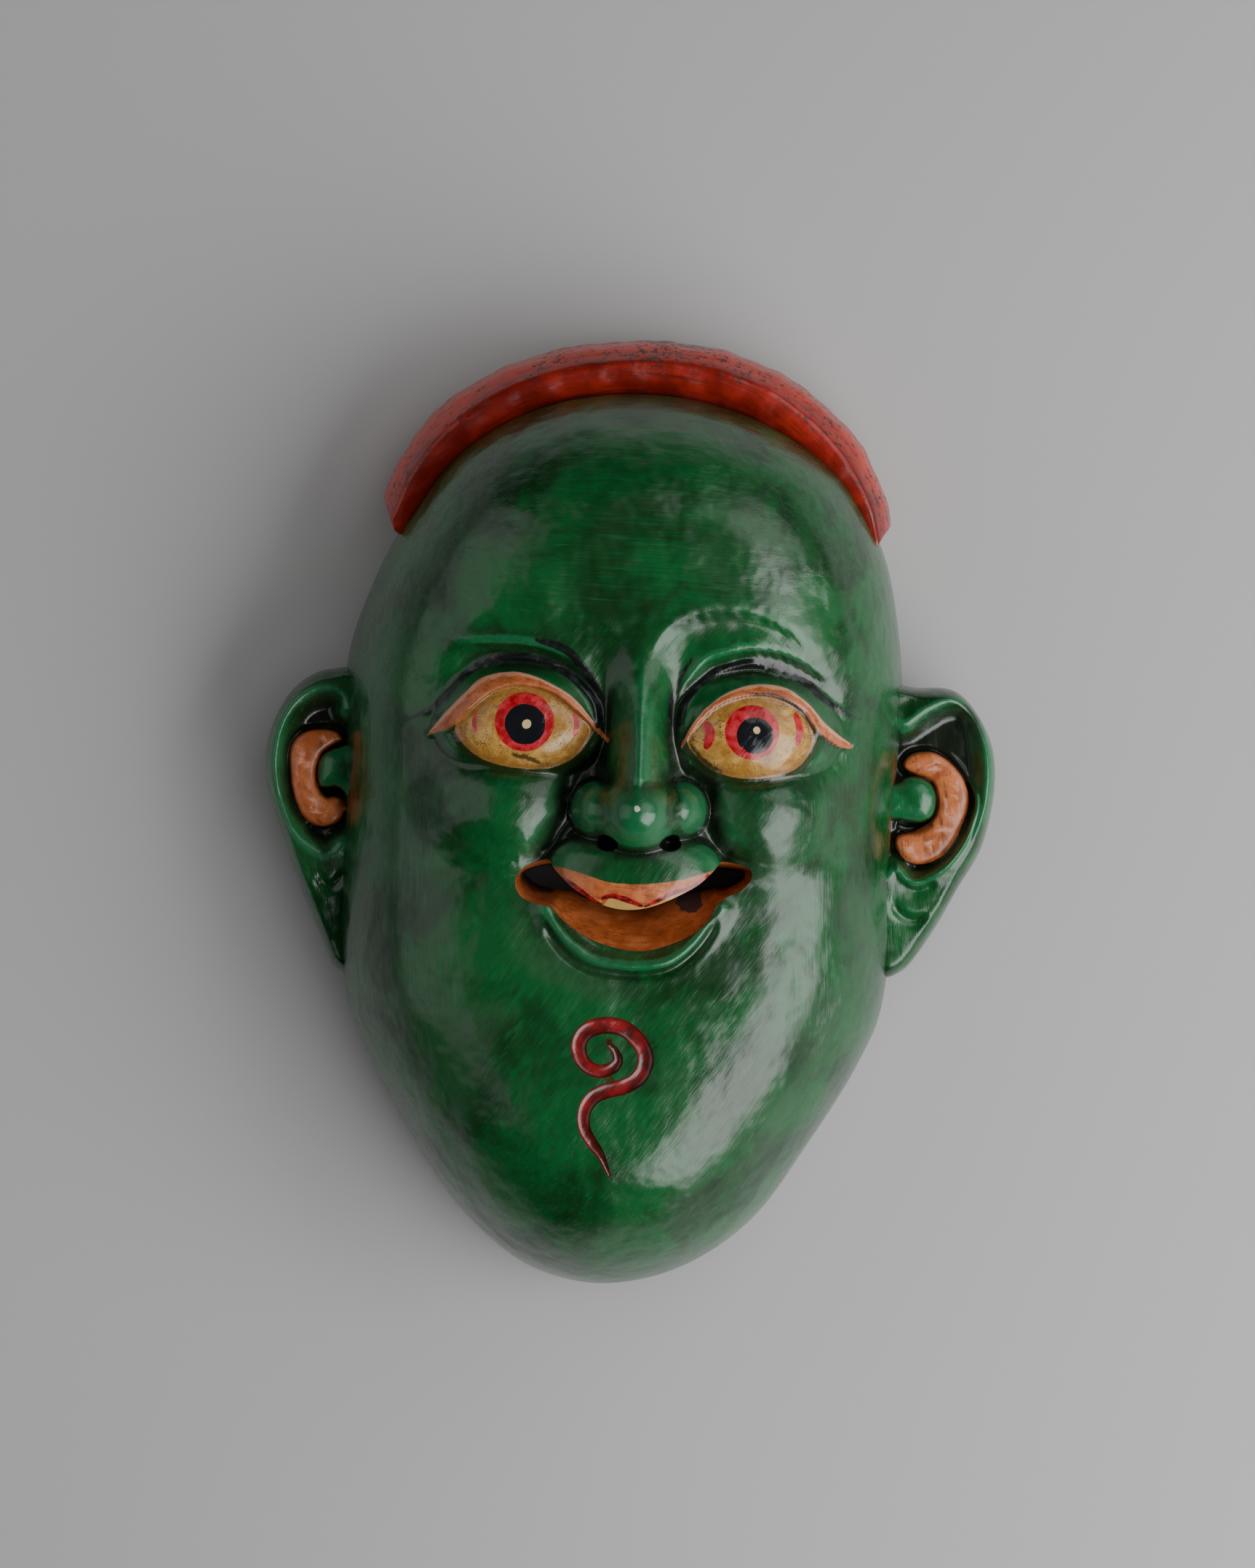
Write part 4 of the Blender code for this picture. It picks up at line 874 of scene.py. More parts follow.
def keep_eye_paint(mesh, x, y):
    """The almonds, the lids with the share of the way down them, the black creases and the marks."""
    ivory, lid, share, black, marks = [], [], [], [], []
    for name, eye in EYES.items():
        ivory.append(depth_inside(x, y, curve_through(eye["ball"], 110, closed=True), 8))
        distance, turn, _ = nearest(x, y, curve_through(eye["lid top"], 90), 8)
        under = eye["side"] * turn * distance
        distance, turn, _ = nearest(x, y, curve_through(eye["lid foot"], 90), 8)
        above = -eye["side"] * turn * distance
        lid.append(np.where(distance < 7, np.minimum(under, above), -8))
        share.append(np.where(lid[-1] > -1, np.clip(under, 0, 8) / np.clip(under + above, 0.3, None), 0))
        distance, _, along = nearest(x, y, curve_through(eye["crease"], 90), 8)
        black.append(np.interp(along, CREASE_SHARES, [0.35, 1.0, 1.35, 1.25, 0.8]) - distance)
        black.append(stroke(x, y, *BROW_BLACK[name]))
        marks += [stroke(x, y, *mark) for mark in eye["marks"]]
    shapes = {"ivory": ivory, "lid": lid, "lid share": share, "black": black, "marks": marks}
    for label, fields in shapes.items():
        keep(mesh, label, deepest(fields))
    keep(mesh, "lid line", stroke(x, y, LID_LINE, 0.6))
    keep(mesh, "smudges", deepest(stroke(x, y, *smudge) for smudge in SMUDGES))


def keep_lip_paint(mesh, x, y):
    """The orange lens of the upper lip, its wavy red strokes and the teeth below them."""
    lens = np.vstack([curve_through(UPPER_LIP, 60), curve_through(LIP_TOP, 60)[-2:0:-1]])
    lip = depth_inside(x, y, lens, 20)
    keep(mesh, "lip", lip)
    keep(mesh, "lip strokes", deepest(stroke(x, y, *line) for line in LIP_STROKES))
    line = np.array(sorted(sum([points for points, _ in LIP_STROKES], [])))
    keep(mesh, "teeth", np.minimum(lip, np.interp(x, line[:, 0], line[:, 1]) - y))


def keep_head_paint(mesh):
    """Works out every painted shape of the head, and the relief, at every point."""
    x, y, z = places_of(mesh).T
    keep_eye_paint(mesh, x, y)
    keep_lip_paint(mesh, x, y)
    distance, _, along = nearest(x, y, curve_through(SPIRAL, 260), 10)
    keep(mesh, "spiral", np.interp(along, SPIRAL_SHARES, SPIRAL_HALVES) - distance)
    keep(mesh, "streaks", deepest(stroke(x, y, *line, 10) for line in STREAKS))
    keep(mesh, "scratches", deepest(stroke(x, y, *line) for line in SCRATCHES))
    distance, _, along = nearest(x, y, curve_through(BRIM_LINE, 120), 20)
    to_end = BRIM_RUN * np.minimum(along, 1 - along)
    seam = 10.0 - distance - 1.1 * np.clip(13.0 - to_end, 0, None)
    keep(mesh, "joint", np.minimum(seam, 0.97 * BRIM_HEIGHT - z))
    inside = depth_in_head(x, y, 20)
    hollow, ridge = relief(head_front, (-96, -156), (92, 140), x, y)
    keep(mesh, "hollow", hollow * smooth(1, 14, inside))
    keep(mesh, "ridge", ridge * smooth(1, 14, inside))
    keep(mesh, "below", np.where(inside > 8, head_front(x, y) - z, 0))
    keep(mesh, "forehead", smooth(42, 72, y))
    keep(mesh, "flank", smooth(38, 62, np.abs(x)) * smooth(40, 15, y))
    print("paint is measured at", len(x), "points of the head")


keep_head_paint(head.data)

# %% Painted shapes of the ears and the brim
for side, piece in ears.items():
    ear = EARS[side]
    x, y, z = places_of(piece.data).T
    for part in EAR_LINE_POINTS:
        keep(piece.data, part, depth_in_ear(x, y, ear, part))
    low, high = np.floor((x.min(), y.min())) - 2, np.ceil((x.max(), y.max())) + 2
    hollow, ridge = relief(lambda x, y: ear_front(x, y, ear), low, high, x, y)
    front = z > EAR_UNDERSIDE + 16
    keep(piece.data, "hollow", np.where(front, hollow, 0))
    keep(piece.data, "ridge", np.where(front, ridge, 0))
    print("the", side, "ear is measured at", len(x), "points")

x, y, z = places_of(brim.data).T
distance, turn, along = nearest(x, y, curve_through(BRIM_LINE, 200))
keep(brim.data, "outward", turn * distance)
keep(brim.data, "along", along)
keep(brim.data, "height", z)
print("the brim reaches", round(float((turn * distance).max()), 1), "mm out from its line")

# %% [markdown]
# ## Small words for finishes
#
# A finish is a chain of small sums worked out at each spot: noises, thresholds and mixes of colour. The
# helpers below each add one node, so a finish reads like the list of what the painter did.

# %% Helpers that add one node each
def add(tree, kind, given=(), **settings):
    """Adds a node; what is given goes to its inputs, as a value or as a link from another node."""
    node = tree.nodes.new("ShaderNode" + kind)
    for name, value in settings.items():
        setattr(node, name, value)
    for name, value in dict(given).items():
        if isinstance(value, bpy.types.NodeSocket):
            tree.links.new(value, node.inputs[name])
        else:
            node.inputs[name].default_value = value
    return node


def calc(tree, operation, *values):
    """One sum: ADD, MULTIPLY, MINIMUM and so on."""
    return add(tree, "Math", enumerate(values), operation=operation).outputs[0]


def rise(tree, value, low, high, top=1.0):
    """Rises smoothly from 0 to top between low and high, or falls where low is the greater."""
    given = {"Value": value, "From Min": low, "From Max": high, "To Max": top}
    return add(tree, "MapRange", given, interpolation_type="SMOOTHSTEP").outputs["Result"]


def tint(tree, share, under, over):
    """Lays one colour over another by its share."""
    return add(tree, "Mix", {0: share, 6: under, 7: over}, data_type="RGBA").outputs[2]


def shift(tree, share, under, over):
    """Goes from one value to another by its share."""
    return add(tree, "Mix", {0: share, 2: under, 3: over}, data_type="FLOAT").outputs[0]


def noise(tree, place, size, detail=2.0, rough=0.5, twist=0.0):
    """Cloudy noise about 0.5 whose clouds are size millimetres wide."""
    given = {"Vector": place, "Scale": 1.0 / size, "Detail": detail, "Roughness": rough, "Distortion": twist}
    return add(tree, "TexNoise", given).outputs["Fac"]


def kept(tree, name):
    """Reads one of the numbers kept with the points."""
    return add(tree, "Attribute", attribute_name=name).outputs["Fac"]


def place_on(tree):
    """Where a spot lies on the mask, in millimetres."""
    spot = add(tree, "TexCoord").outputs["Object"]
    return add(tree, "VectorMath", {0: spot, "Scale": 1000.0}, operation="SCALE").outputs[0]


def new_group(name, takes, gives):
    """An empty shared effect with named inputs and outputs."""
    group = bpy.data.node_groups.new(name, "ShaderNodeTree")
    for label, kind, value in takes:
        socket = group.interface.new_socket(label, in_out="INPUT", socket_type="NodeSocket" + kind)
        if value is not None:
            socket.default_value = value
    for label, kind in gives:
        group.interface.new_socket(label, in_out="OUTPUT", socket_type="NodeSocket" + kind)
    return group, group.nodes.new("NodeGroupInput").outputs, group.nodes.new("NodeGroupOutput").inputs


def use(tree, group, **given):
    """Places a shared effect and gives it its own values; underscores stand for spaces."""
    named = {name.replace("_", " "): value for name, value in given.items()}
    return add(tree, "Group", named, node_tree=group).outputs


def join(tree, outputs, **values):
    """Links results to the outputs of a group or to the inputs of a shader."""
    for name, value in values.items():
        tree.links.new(value, outputs[name.replace("_", " ")])


print("the helpers are ready")

# %% [markdown]
# ## The pots of colour
#
# Every colour on the mask has a name here, from the dark green ground to the stain on the bare wood.
# Each row of the list belongs to one part of the work: green, orange, marks, eyes, mouth, ears, brim,
# wood. The numbers are the shares of red, green and blue light that the dry colour gives back.

# %% Colours by name
POTS = {
    "green ground": (0.0035, 0.036, 0.008), "green glaze": (0.005, 0.092, 0.021),
    "bright green": (0.008, 0.15, 0.042), "dull green": (0.010, 0.030, 0.009),
    "brown hairline": (0.014, 0.018, 0.007), "milky film": (0.045, 0.075, 0.045),
    "worn green": (0.016, 0.19, 0.07), "dirt_and_shade": (0.006, 0.007, 0.004), "speck": (0.03, 0.022, 0.01),
    "orange ground": (0.36, 0.085, 0.02), "light orange": (0.58, 0.17, 0.055),
    "orange shade": (0.15, 0.045, 0.016), "orange hairline": (0.05, 0.025, 0.014),
    "pink wear and sheen": (0.78, 0.36, 0.25), "dusk": (0.022, 0.012, 0.008),
    "ochre": (0.16, 0.055, 0.012), "seam": (0.030, 0.008, 0.005), "scratch": (0.01, 0.012, 0.008),
    "hole shade": (0.004, 0.003, 0.002), "chip": (0.52, 0.54, 0.44),
    "olive band": (0.02, 0.028, 0.005), "deep ivory": (0.34, 0.155, 0.026), "ivory": (0.62, 0.36, 0.09),
    "ivory stain": (0.20, 0.09, 0.02), "ivory rim": (0.24, 0.10, 0.025), "smudge": (0.03, 0.018, 0.010),
    "iris red": (0.36, 0.006, 0.012), "pink red": (0.58, 0.035, 0.045), "pupil": (0.009, 0.010, 0.013),
    "eye light": (0.62, 0.46, 0.22), "lid line": (0.012, 0.008, 0.006), "black": (0.006, 0.006, 0.007),
    "rubbed black": (0.035, 0.035, 0.038),
    "teeth": (0.50, 0.30, 0.085), "deep crimson": (0.10, 0.006, 0.008), "crimson": (0.42, 0.016, 0.02),
    "deep wine": (0.075, 0.010, 0.008), "wine": (0.26, 0.014, 0.016), "wine edge": (0.03, 0.006, 0.004),
    "shade grey": (0.045, 0.042, 0.045),
    "ear hollow": (0.007, 0.008, 0.005), "ear outline": (0.006, 0.006, 0.005),
    "deep red": (0.20, 0.008, 0.004), "red": (0.36, 0.018, 0.009), "red shade": (0.10, 0.008, 0.004),
    "red hairline": (0.05, 0.012, 0.006), "bright red": (0.60, 0.040, 0.018),
    "cove": (0.022, 0.004, 0.003), "red chip": (0.035, 0.014, 0.010), "red foot": (0.05, 0.006, 0.004),
    "wood shade": (0.20, 0.11, 0.05), "wood": (0.42, 0.27, 0.14), "wood line": (0.09, 0.05, 0.025),
    "wood stain": (0.07, 0.04, 0.022), "wood speck": (0.03, 0.02, 0.012),
}
SHADE = {name: (*colour, 1) for name, colour in POTS.items()}


def glaze(tree, under, value, low, high, name, top):
    """Lays a named colour over another from low to high of a value, up to the share top."""
    return tint(tree, rise(tree, value, low, high, top), under, SHADE[name])


print(len(SHADE), "colours are mixed")

# %% [markdown]
# ## Effects that several finishes share
#
# Brush hairs leave long streaks, knives leave broad dents, use leaves fine scratches and specks, dirt
# and painted shade darken the hollows, and the lacquer wears through on the ridges. Each effect is made
# once and placed in every finish that shows it, with its own size and strength.

# %% Streaks, dents, scratches, dirt with painted shade, and wear
streaks_group, given, made = new_group("brush streaks", [
    ("Place", "Vector", None), ("Turn", "Float", 0.0), ("Length", "Float", 26.0), ("Width", "Float", 1.6)],
    [("Broad", "Float"), ("Fine", "Float")])
turned = add(streaks_group, "VectorRotate", {"Vector": given["Place"], "Angle": given["Turn"]},
             rotation_type="Z_AXIS").outputs[0]
size = add(streaks_group, "CombineXYZ", {0: given["Length"], 1: given["Width"], 2: given["Width"]}).outputs[0]
laid = add(streaks_group, "VectorMath", {0: turned, 1: size}, operation="DIVIDE").outputs[0]
fine = add(streaks_group, "VectorMath", {0: laid, 1: (1.7, 4.2, 4.2)}, operation="MULTIPLY").outputs[0]
join(streaks_group, made, Broad=noise(streaks_group, laid, 1.0, 2, 0.55, 0.3),
     Fine=noise(streaks_group, fine, 1.0, 1, 0.6))

dents_group, given, made = new_group("knife dents", [
    ("Place", "Vector", None), ("Size", "Float", 1.0)], [("Height", "Float")])
laid = add(dents_group, "VectorMath", {0: given["Place"], "Scale": given["Size"]},
           operation="SCALE").outputs[0]
broad = calc(dents_group, "MULTIPLY", noise(dents_group, laid, 22, 1, 0.4), 2.6)
small = calc(dents_group, "MULTIPLY", noise(dents_group, laid, 6, 1, 0.4), 0.75)
join(dents_group, made, Height=calc(dents_group, "ADD", broad, small))

specks_group, given, made = new_group("chips and specks", [
    ("Place", "Vector", None), ("Size", "Float", 1.0), ("Amount", "Float", 0.3)], [("Mask", "Float")])
laid = add(specks_group, "VectorMath", {0: given["Place"], 1: given["Size"]}, operation="DIVIDE").outputs[0]
dust = noise(specks_group, laid, 1.1, 3, 0.65, 0.4)
clouds = noise(specks_group, laid, 14, 1, 0.5)
edge = calc(specks_group, "SUBTRACT", 0.78, calc(specks_group, "MULTIPLY", given["Amount"], clouds))
join(specks_group, made, Mask=rise(specks_group, calc(specks_group, "SUBTRACT", dust, edge), 0.0, 0.035))

dirt_and_shade_group, given, made = new_group("dirt in hollows", [
    ("Place", "Vector", None), ("Hollow", "Float", 0.0), ("Depth", "Float", 1.6)], [("Mask", "Float")])
# Painted shade together with dirt: the further a spot lies below its wider surroundings, the darker it gets.
uneven = calc(dirt_and_shade_group, "MULTIPLY_ADD", noise(dirt_and_shade_group, given["Place"], 5.0, 3, 0.6), 1.6, -0.8)
level = calc(dirt_and_shade_group, "DIVIDE", calc(dirt_and_shade_group, "ADD", given["Hollow"], uneven), given["Depth"])
join(dirt_and_shade_group, made, Mask=rise(dirt_and_shade_group, level, 0.15, 1.0))

wear_group, given, made = new_group("worn ridges", [
    ("Place", "Vector", None), ("Ridge", "Float", 0.0), ("Depth", "Float", 0.4)], [("Mask", "Float")])
uneven = calc(wear_group, "MULTIPLY_ADD", noise(wear_group, given["Place"], 3.0, 3, 0.65), 0.5, -0.25)
level = calc(wear_group, "DIVIDE", calc(wear_group, "ADD", given["Ridge"], uneven), given["Depth"])
join(wear_group, made, Mask=rise(wear_group, level, 0.3, 1.1))

disc_group, given, made = new_group("painted disc", [
    ("Place", "Vector", None), ("Centre", "Vector", None), ("Radius", "Float", 5.0),
    ("Wobble", "Float", 0.4)], [("Mask", "Float")])
aside = add(disc_group, "VectorMath", {0: given["Place"], 1: given["Centre"]},
            operation="SUBTRACT").outputs[0]
flat = add(disc_group, "VectorMath", {0: aside, 1: (1, 1, 0)}, operation="MULTIPLY").outputs[0]
far = add(disc_group, "VectorMath", {0: flat}, operation="LENGTH").outputs["Value"]
wobble = calc(disc_group, "MULTIPLY", noise(disc_group, given["Place"], 3.0, 1), given["Wobble"])
inside = calc(disc_group, "SUBTRACT", calc(disc_group, "ADD", given["Radius"], wobble), far)
join(disc_group, made, Mask=rise(disc_group, inside, -0.08, 0.08))
print("shared effects:", [group.name for group in bpy.data.node_groups])

# %% [markdown]
# ## The lacquers
#
# The green is a dark ground glazed with a brighter green in broad strokes, with brown hairlines where
# it has been rubbed. The orange is thinner and shows darker strokes. Both give a colour, a roughness and
# a height in millimetres, so that any piece can mix them by its own painted shapes.

# %% Green lacquer and orange lacquer
green_group, given, made = new_group("green lacquer", [
    ("Place", "Vector", None), ("Broad", "Float", 0.5), ("Fine", "Float", 0.5), ("Hollow", "Float", 0.0),
    ("Ridge", "Float", 0.0)], [("Colour", "Color"), ("Roughness", "Float"), ("Height", "Float")])
tree = green_group
patches = noise(tree, given["Place"], 24, 3, 0.55, 0.5)
colour = tint(tree, rise(tree, patches, 0.36, 0.62), SHADE["green ground"], SHADE["green glaze"])
colour = glaze(tree, colour, given["Broad"], 0.5, 0.8, "bright green", 0.4)
colour = glaze(tree, colour, given["Broad"], 0.45, 0.25, "dull green", 0.4)
colour = glaze(tree, colour, given["Fine"], 0.36, 0.26, "brown hairline", 0.6)
film = rise(tree, noise(tree, given["Place"], 40, 1, 0.5, 0.3), 0.5, 0.66, 0.25)
colour = tint(tree, film, colour, SHADE["milky film"])
worn = use(tree, wear_group, Place=given["Place"], Ridge=given["Ridge"], Depth=0.55)["Mask"]
colour = tint(tree, calc(tree, "MULTIPLY", worn, 0.5), colour, SHADE["worn green"])
# Dirt and painted shade darken the hollows almost to black.
dirt_and_shade = use(tree, dirt_and_shade_group, Place=given["Place"], Hollow=given["Hollow"], Depth=3.4)["Mask"]
colour = tint(tree, calc(tree, "MULTIPLY", dirt_and_shade, 0.85), colour, SHADE["dirt_and_shade"])
specks = use(tree, specks_group, Place=given["Place"], Size=0.8, Amount=0.26)["Mask"]
colour = tint(tree, calc(tree, "MULTIPLY", specks, 0.7), colour, SHADE["speck"])
rough = calc(tree, "MULTIPLY_ADD", given["Fine"], 0.26, 0.15)
rough = calc(tree, "ADD", rough, calc(tree, "MULTIPLY", film, 0.2))
height = use(tree, dents_group, Place=given["Place"], Size=1.0)["Height"]
height = calc(tree, "MULTIPLY_ADD", given["Broad"], 0.10, height)
height = calc(tree, "MULTIPLY_ADD", given["Fine"], 0.04, height)
join(tree, made, Colour=colour, Roughness=rough, Height=height)

orange_group, given, made = new_group("orange lacquer", [
    ("Place", "Vector", None), ("Broad", "Float", 0.5), ("Fine", "Float", 0.5), ("Rubbed", "Float", 0.0),
    ("Dark", "Float", 0.0)], [("Colour", "Color"), ("Roughness", "Float"), ("Height", "Float")])
tree = orange_group
patches = noise(tree, given["Place"], 8, 3, 0.6, 0.4)
colour = tint(tree, rise(tree, patches, 0.35, 0.65), SHADE["orange ground"], SHADE["light orange"])
colour = glaze(tree, colour, given["Broad"], 0.46, 0.28, "orange shade", 0.6)
colour = glaze(tree, colour, given["Fine"], 0.36, 0.26, "orange hairline", 0.7)
# Pink where the ears' crescents are rubbed, and as a painted highlight along the top of each lid.
colour = tint(tree, calc(tree, "MULTIPLY", given["Rubbed"], 0.75), colour, SHADE["pink wear and sheen"])
specks = use(tree, specks_group, Place=given["Place"], Size=0.75, Amount=0.22)["Mask"]
# Specks darken the orange, and so does the Dark input, which carries painted shade under the lids and deep in
# the mouth.
dark = calc(tree, "MAXIMUM", calc(tree, "MULTIPLY", specks, 0.85), given["Dark"])
colour = tint(tree, dark, colour, SHADE["dusk"])
rough = calc(tree, "MULTIPLY_ADD", given["Fine"], 0.2, 0.26)
height = calc(tree, "MULTIPLY", given["Broad"], 0.08)
height = calc(tree, "MULTIPLY_ADD", given["Fine"], 0.03, height)
dents = use(tree, dents_group, Place=given["Place"], Size=1.8)["Height"]
height = calc(tree, "MULTIPLY_ADD", dents, 0.4, height)
join(tree, made, Colour=colour, Roughness=rough, Height=height)
print("lacquers ready:", green_group.name, "and", orange_group.name)


# %% A skin that takes colour, roughness and height
COAT_ROUGHNESS, EDGE_SOFTNESS = 0.12, 0.14


def lacquer_skin(material, colour, roughness, height, coat=0.35):
    """One glossy skin with a thin clear coat; its height is in millimetres."""
    tree = material.node_tree
    skin = tree.nodes["Principled BSDF"]
    bump = add(tree, "Bump", {"Strength": 1.0, "Distance": 0.001, "Height": height})
    join(tree, skin.inputs, Base_Color=colour, Roughness=roughness, Normal=bump.outputs[0])
    skin.inputs["Coat Weight"].default_value = coat
    skin.inputs["Coat Roughness"].default_value = COAT_ROUGHNESS


def paint(tree, layers, mask, colour=None, roughness=None, height=None):
    """Lays one more coat over the colour, roughness and height so far, where its mask lets it."""
    under_colour, under_rough, under_height = layers
    if colour is not None:
        under_colour = tint(tree, mask, under_colour, colour)
    if roughness is not None:
        under_rough = shift(tree, mask, under_rough, roughness)
    if height is not None:
        under_height = calc(tree, "MULTIPLY_ADD", mask, height, under_height)
    return under_colour, under_rough, under_height


def edge_of(tree, name, place, wobble):
    """The mask of a painted shape from its kept depth, with a hand's unsteady edge."""
    unsteady = calc(tree, "MULTIPLY_ADD", noise(tree, place, 2.2, 2, 0.6), wobble, -0.5 * wobble)
    return rise(tree, calc(tree, "ADD", kept(tree, name), unsteady), -EDGE_SOFTNESS, EDGE_SOFTNESS)

# %% [markdown]
# ## Painting the head
#
# The layers go on in the painter's order: green everywhere with its strokes across the forehead, down
# the flanks and slantwise over the chin, then the ivory almonds with red rings and black pupils, the
# orange lids with a painted highlight on top and painted shade beneath, the black creases, the lip with
# its red strokes and teeth, and the red spiral. Dirt, wear and a few chips come last, as they did in
# life; painted shade darkens the hollows along with the dirt, and the nostrils.

# %% The green ground with its three directions of brushing
carved.use_nodes = True
tree = carved.node_tree
place = place_on(tree)
across = use(tree, streaks_group, Place=place, Turn=0.04, Length=17.0, Width=1.2)
down = use(tree, streaks_group, Place=place, Turn=1.5, Length=14.0, Width=1.0)
aslant = use(tree, streaks_group, Place=place, Turn=-0.95, Length=8.0, Width=1.1)
forehead, flank = kept(tree, "forehead"), kept(tree, "flank")
broad = shift(tree, flank, shift(tree, forehead, aslant["Broad"], across["Broad"]), down["Broad"])
fine = shift(tree, flank, shift(tree, forehead, aslant["Fine"], across["Fine"]), down["Fine"])
green = use(tree, green_group, Place=place, Broad=broad, Fine=fine, Hollow=kept(tree, "hollow"),
            Ridge=kept(tree, "ridge"))
layers = green["Colour"], green["Roughness"], green["Height"]
streaked = calc(tree, "ADD", kept(tree, "streaks"), calc(tree, "MULTIPLY_ADD", broad, 6.0, -3.6))
layers = paint(tree, layers, rise(tree, streaked, -0.4, 0.8, 0.9), SHADE["ochre"], 0.5)
joint = calc(tree, "ADD", kept(tree, "joint"), calc(tree, "MULTIPLY", broad, 2.0))
layers = paint(tree, layers, rise(tree, joint, -0.3, 0.8, 0.9), SHADE["seam"], 0.25)
scratched = rise(tree, kept(tree, "scratches"), -0.1, 0.12, 0.8)
layers = paint(tree, layers, scratched, SHADE["scratch"], 0.4, -0.12)
# Painted shade: spots more than 2 mm under the carved front, inside the nostrils, go near black.
layers = paint(tree, layers, rise(tree, kept(tree, "below"), 1.8, 3.5), SHADE["hole shade"], 0.5)

# %% The eyes
scale = np.array([ACROSS, UP]) * 1000
ivory = edge_of(tree, "ivory", place, 0.3)
band = calc(tree, "MULTIPLY", rise(tree, kept(tree, "ivory"), -2.6, -1.2), 0.75)
layers = paint(tree, layers, band, SHADE["olive band"], 0.22)
aged = rise(tree, noise(tree, place, 6, 3, 0.6, 0.5), 0.32, 0.68)
old = tint(tree, aged, SHADE["deep ivory"], SHADE["ivory"])
old = glaze(tree, old, noise(tree, place, 2.4, 3, 0.6), 0.42, 0.28, "ivory stain", 0.6)
rim = calc(tree, "MULTIPLY_ADD", noise(tree, place, 3.0, 2), -3.0, kept(tree, "ivory"))
old = glaze(tree, old, rim, 1.2, -1.2, "ivory rim", 0.8)
layers = paint(tree, layers, ivory, old, 0.24)
smudge = calc(tree, "MULTIPLY_ADD", noise(tree, place, 1.2, 3, 0.7), 2.4, -1.5)
smudge = rise(tree, calc(tree, "ADD", kept(tree, "smudges"), smudge), -0.2, 0.3, 0.85)
layers = paint(tree, layers, smudge, SHADE["smudge"])
specks = use(tree, specks_group, Place=place, Size=0.42, Amount=0.36)["Mask"]
specks = calc(tree, "MULTIPLY", specks, calc(tree, "MULTIPLY", ivory, 0.85))
layers = paint(tree, layers, specks, SHADE["smudge"])
red = tint(tree, rise(tree, noise(tree, place, 3, 2), 0.4, 0.65), SHADE["iris red"], SHADE["pink red"])
layers = paint(tree, layers, edge_of(tree, "marks", place, 0.35), red, 0.25)
DISCS = (("iris", red, 0.22, 0.5), ("pupil", SHADE["pupil"], 0.16, 0.9),
         ("light", SHADE["eye light"], 0.3, 0.5))
for eye in EYES.values():
    for name, tone, gloss, wobble in DISCS:
        (cx, cy), radius = eye[name]
        disc = use(tree, disc_group, Place=place, Centre=(cx * scale[0], cy * scale[1], 0),
                   Radius=radius - wobble / 2, Wobble=wobble)
        layers = paint(tree, layers, disc["Mask"], tone, gloss)

# %% The lids and the black creases
lid_place = use(tree, streaks_group, Place=place, Turn=0.2, Length=6.0, Width=0.7)
uneven = calc(tree, "MULTIPLY_ADD", noise(tree, place, 2.5, 3, 0.6), 0.5, -0.25)
share = calc(tree, "ADD", kept(tree, "lid share"), uneven)
under = rise(tree, kept(tree, "lid line"), -0.35, 0.35, 0.9)
# Each lid's ledge is painted pink along its top as highlight and darker towards its underside as shade.
orange = use(tree, orange_group, Place=place, Broad=lid_place["Broad"], Fine=lid_place["Fine"],
             Rubbed=rise(tree, share, 0.36, 0.16), Dark=rise(tree, share, 0.68, 1.1, 0.6))
lid = edge_of(tree, "lid", place, 0.3)
layers = paint(tree, layers, lid, orange["Colour"], orange["Roughness"])
layers = paint(tree, layers, under, SHADE["lid line"], 0.3)
black = edge_of(tree, "black", place, 0.35)
rubbed = rise(tree, noise(tree, place, 4, 3, 0.6), 0.5, 0.7)
soot = tint(tree, rubbed, SHADE["black"], SHADE["rubbed black"])
layers = paint(tree, layers, calc(tree, "MULTIPLY", black, 0.96), soot, 0.3)

# %% The upper lip, the spiral and the last chips
NOSE_CHIP, CHEEK_DROP, MOUTH_SPOT = (2.3, 1.1, 0), (43.3, 7.5, 0), (19.5, -27.0, 0)
lip_hairs = use(tree, streaks_group, Place=place, Turn=0.1, Length=12.0, Width=0.9)
orange = use(tree, orange_group, Place=place, Broad=lip_hairs["Broad"], Fine=lip_hairs["Fine"],
             Rubbed=0.0, Dark=0.0)
lip = edge_of(tree, "lip", place, 0.4)
layers = paint(tree, layers, lip, orange["Colour"], orange["Roughness"])
layers = paint(tree, layers, edge_of(tree, "teeth", place, 0.2), SHADE["teeth"], 0.3)
clouds = rise(tree, noise(tree, place, 2, 2), 0.35, 0.65)
crimson = tint(tree, clouds, SHADE["deep crimson"], SHADE["crimson"])
layers = paint(tree, layers, edge_of(tree, "lip strokes", place, 0.4), crimson, 0.22)
clouds = rise(tree, noise(tree, place, 9, 2, 0.6), 0.38, 0.62)
wine = tint(tree, clouds, SHADE["deep wine"], SHADE["wine"])
wine = glaze(tree, wine, kept(tree, "spiral"), 0.6, 0.1, "wine edge", 0.7)
layers = paint(tree, layers, edge_of(tree, "spiral", place, 0.2), wine, 0.22)
chip = use(tree, disc_group, Place=place, Centre=NOSE_CHIP, Radius=0.35, Wobble=1.3)["Mask"]
layers = paint(tree, layers, chip, SHADE["chip"], 0.6)
drop = use(tree, disc_group, Place=place, Centre=CHEEK_DROP, Radius=1.6, Wobble=0.3)["Mask"]
layers = paint(tree, layers, drop, None, 0.08, 0.25)
lacquer_skin(carved, *layers)
print("the head's finish has", len(tree.nodes), "nodes")

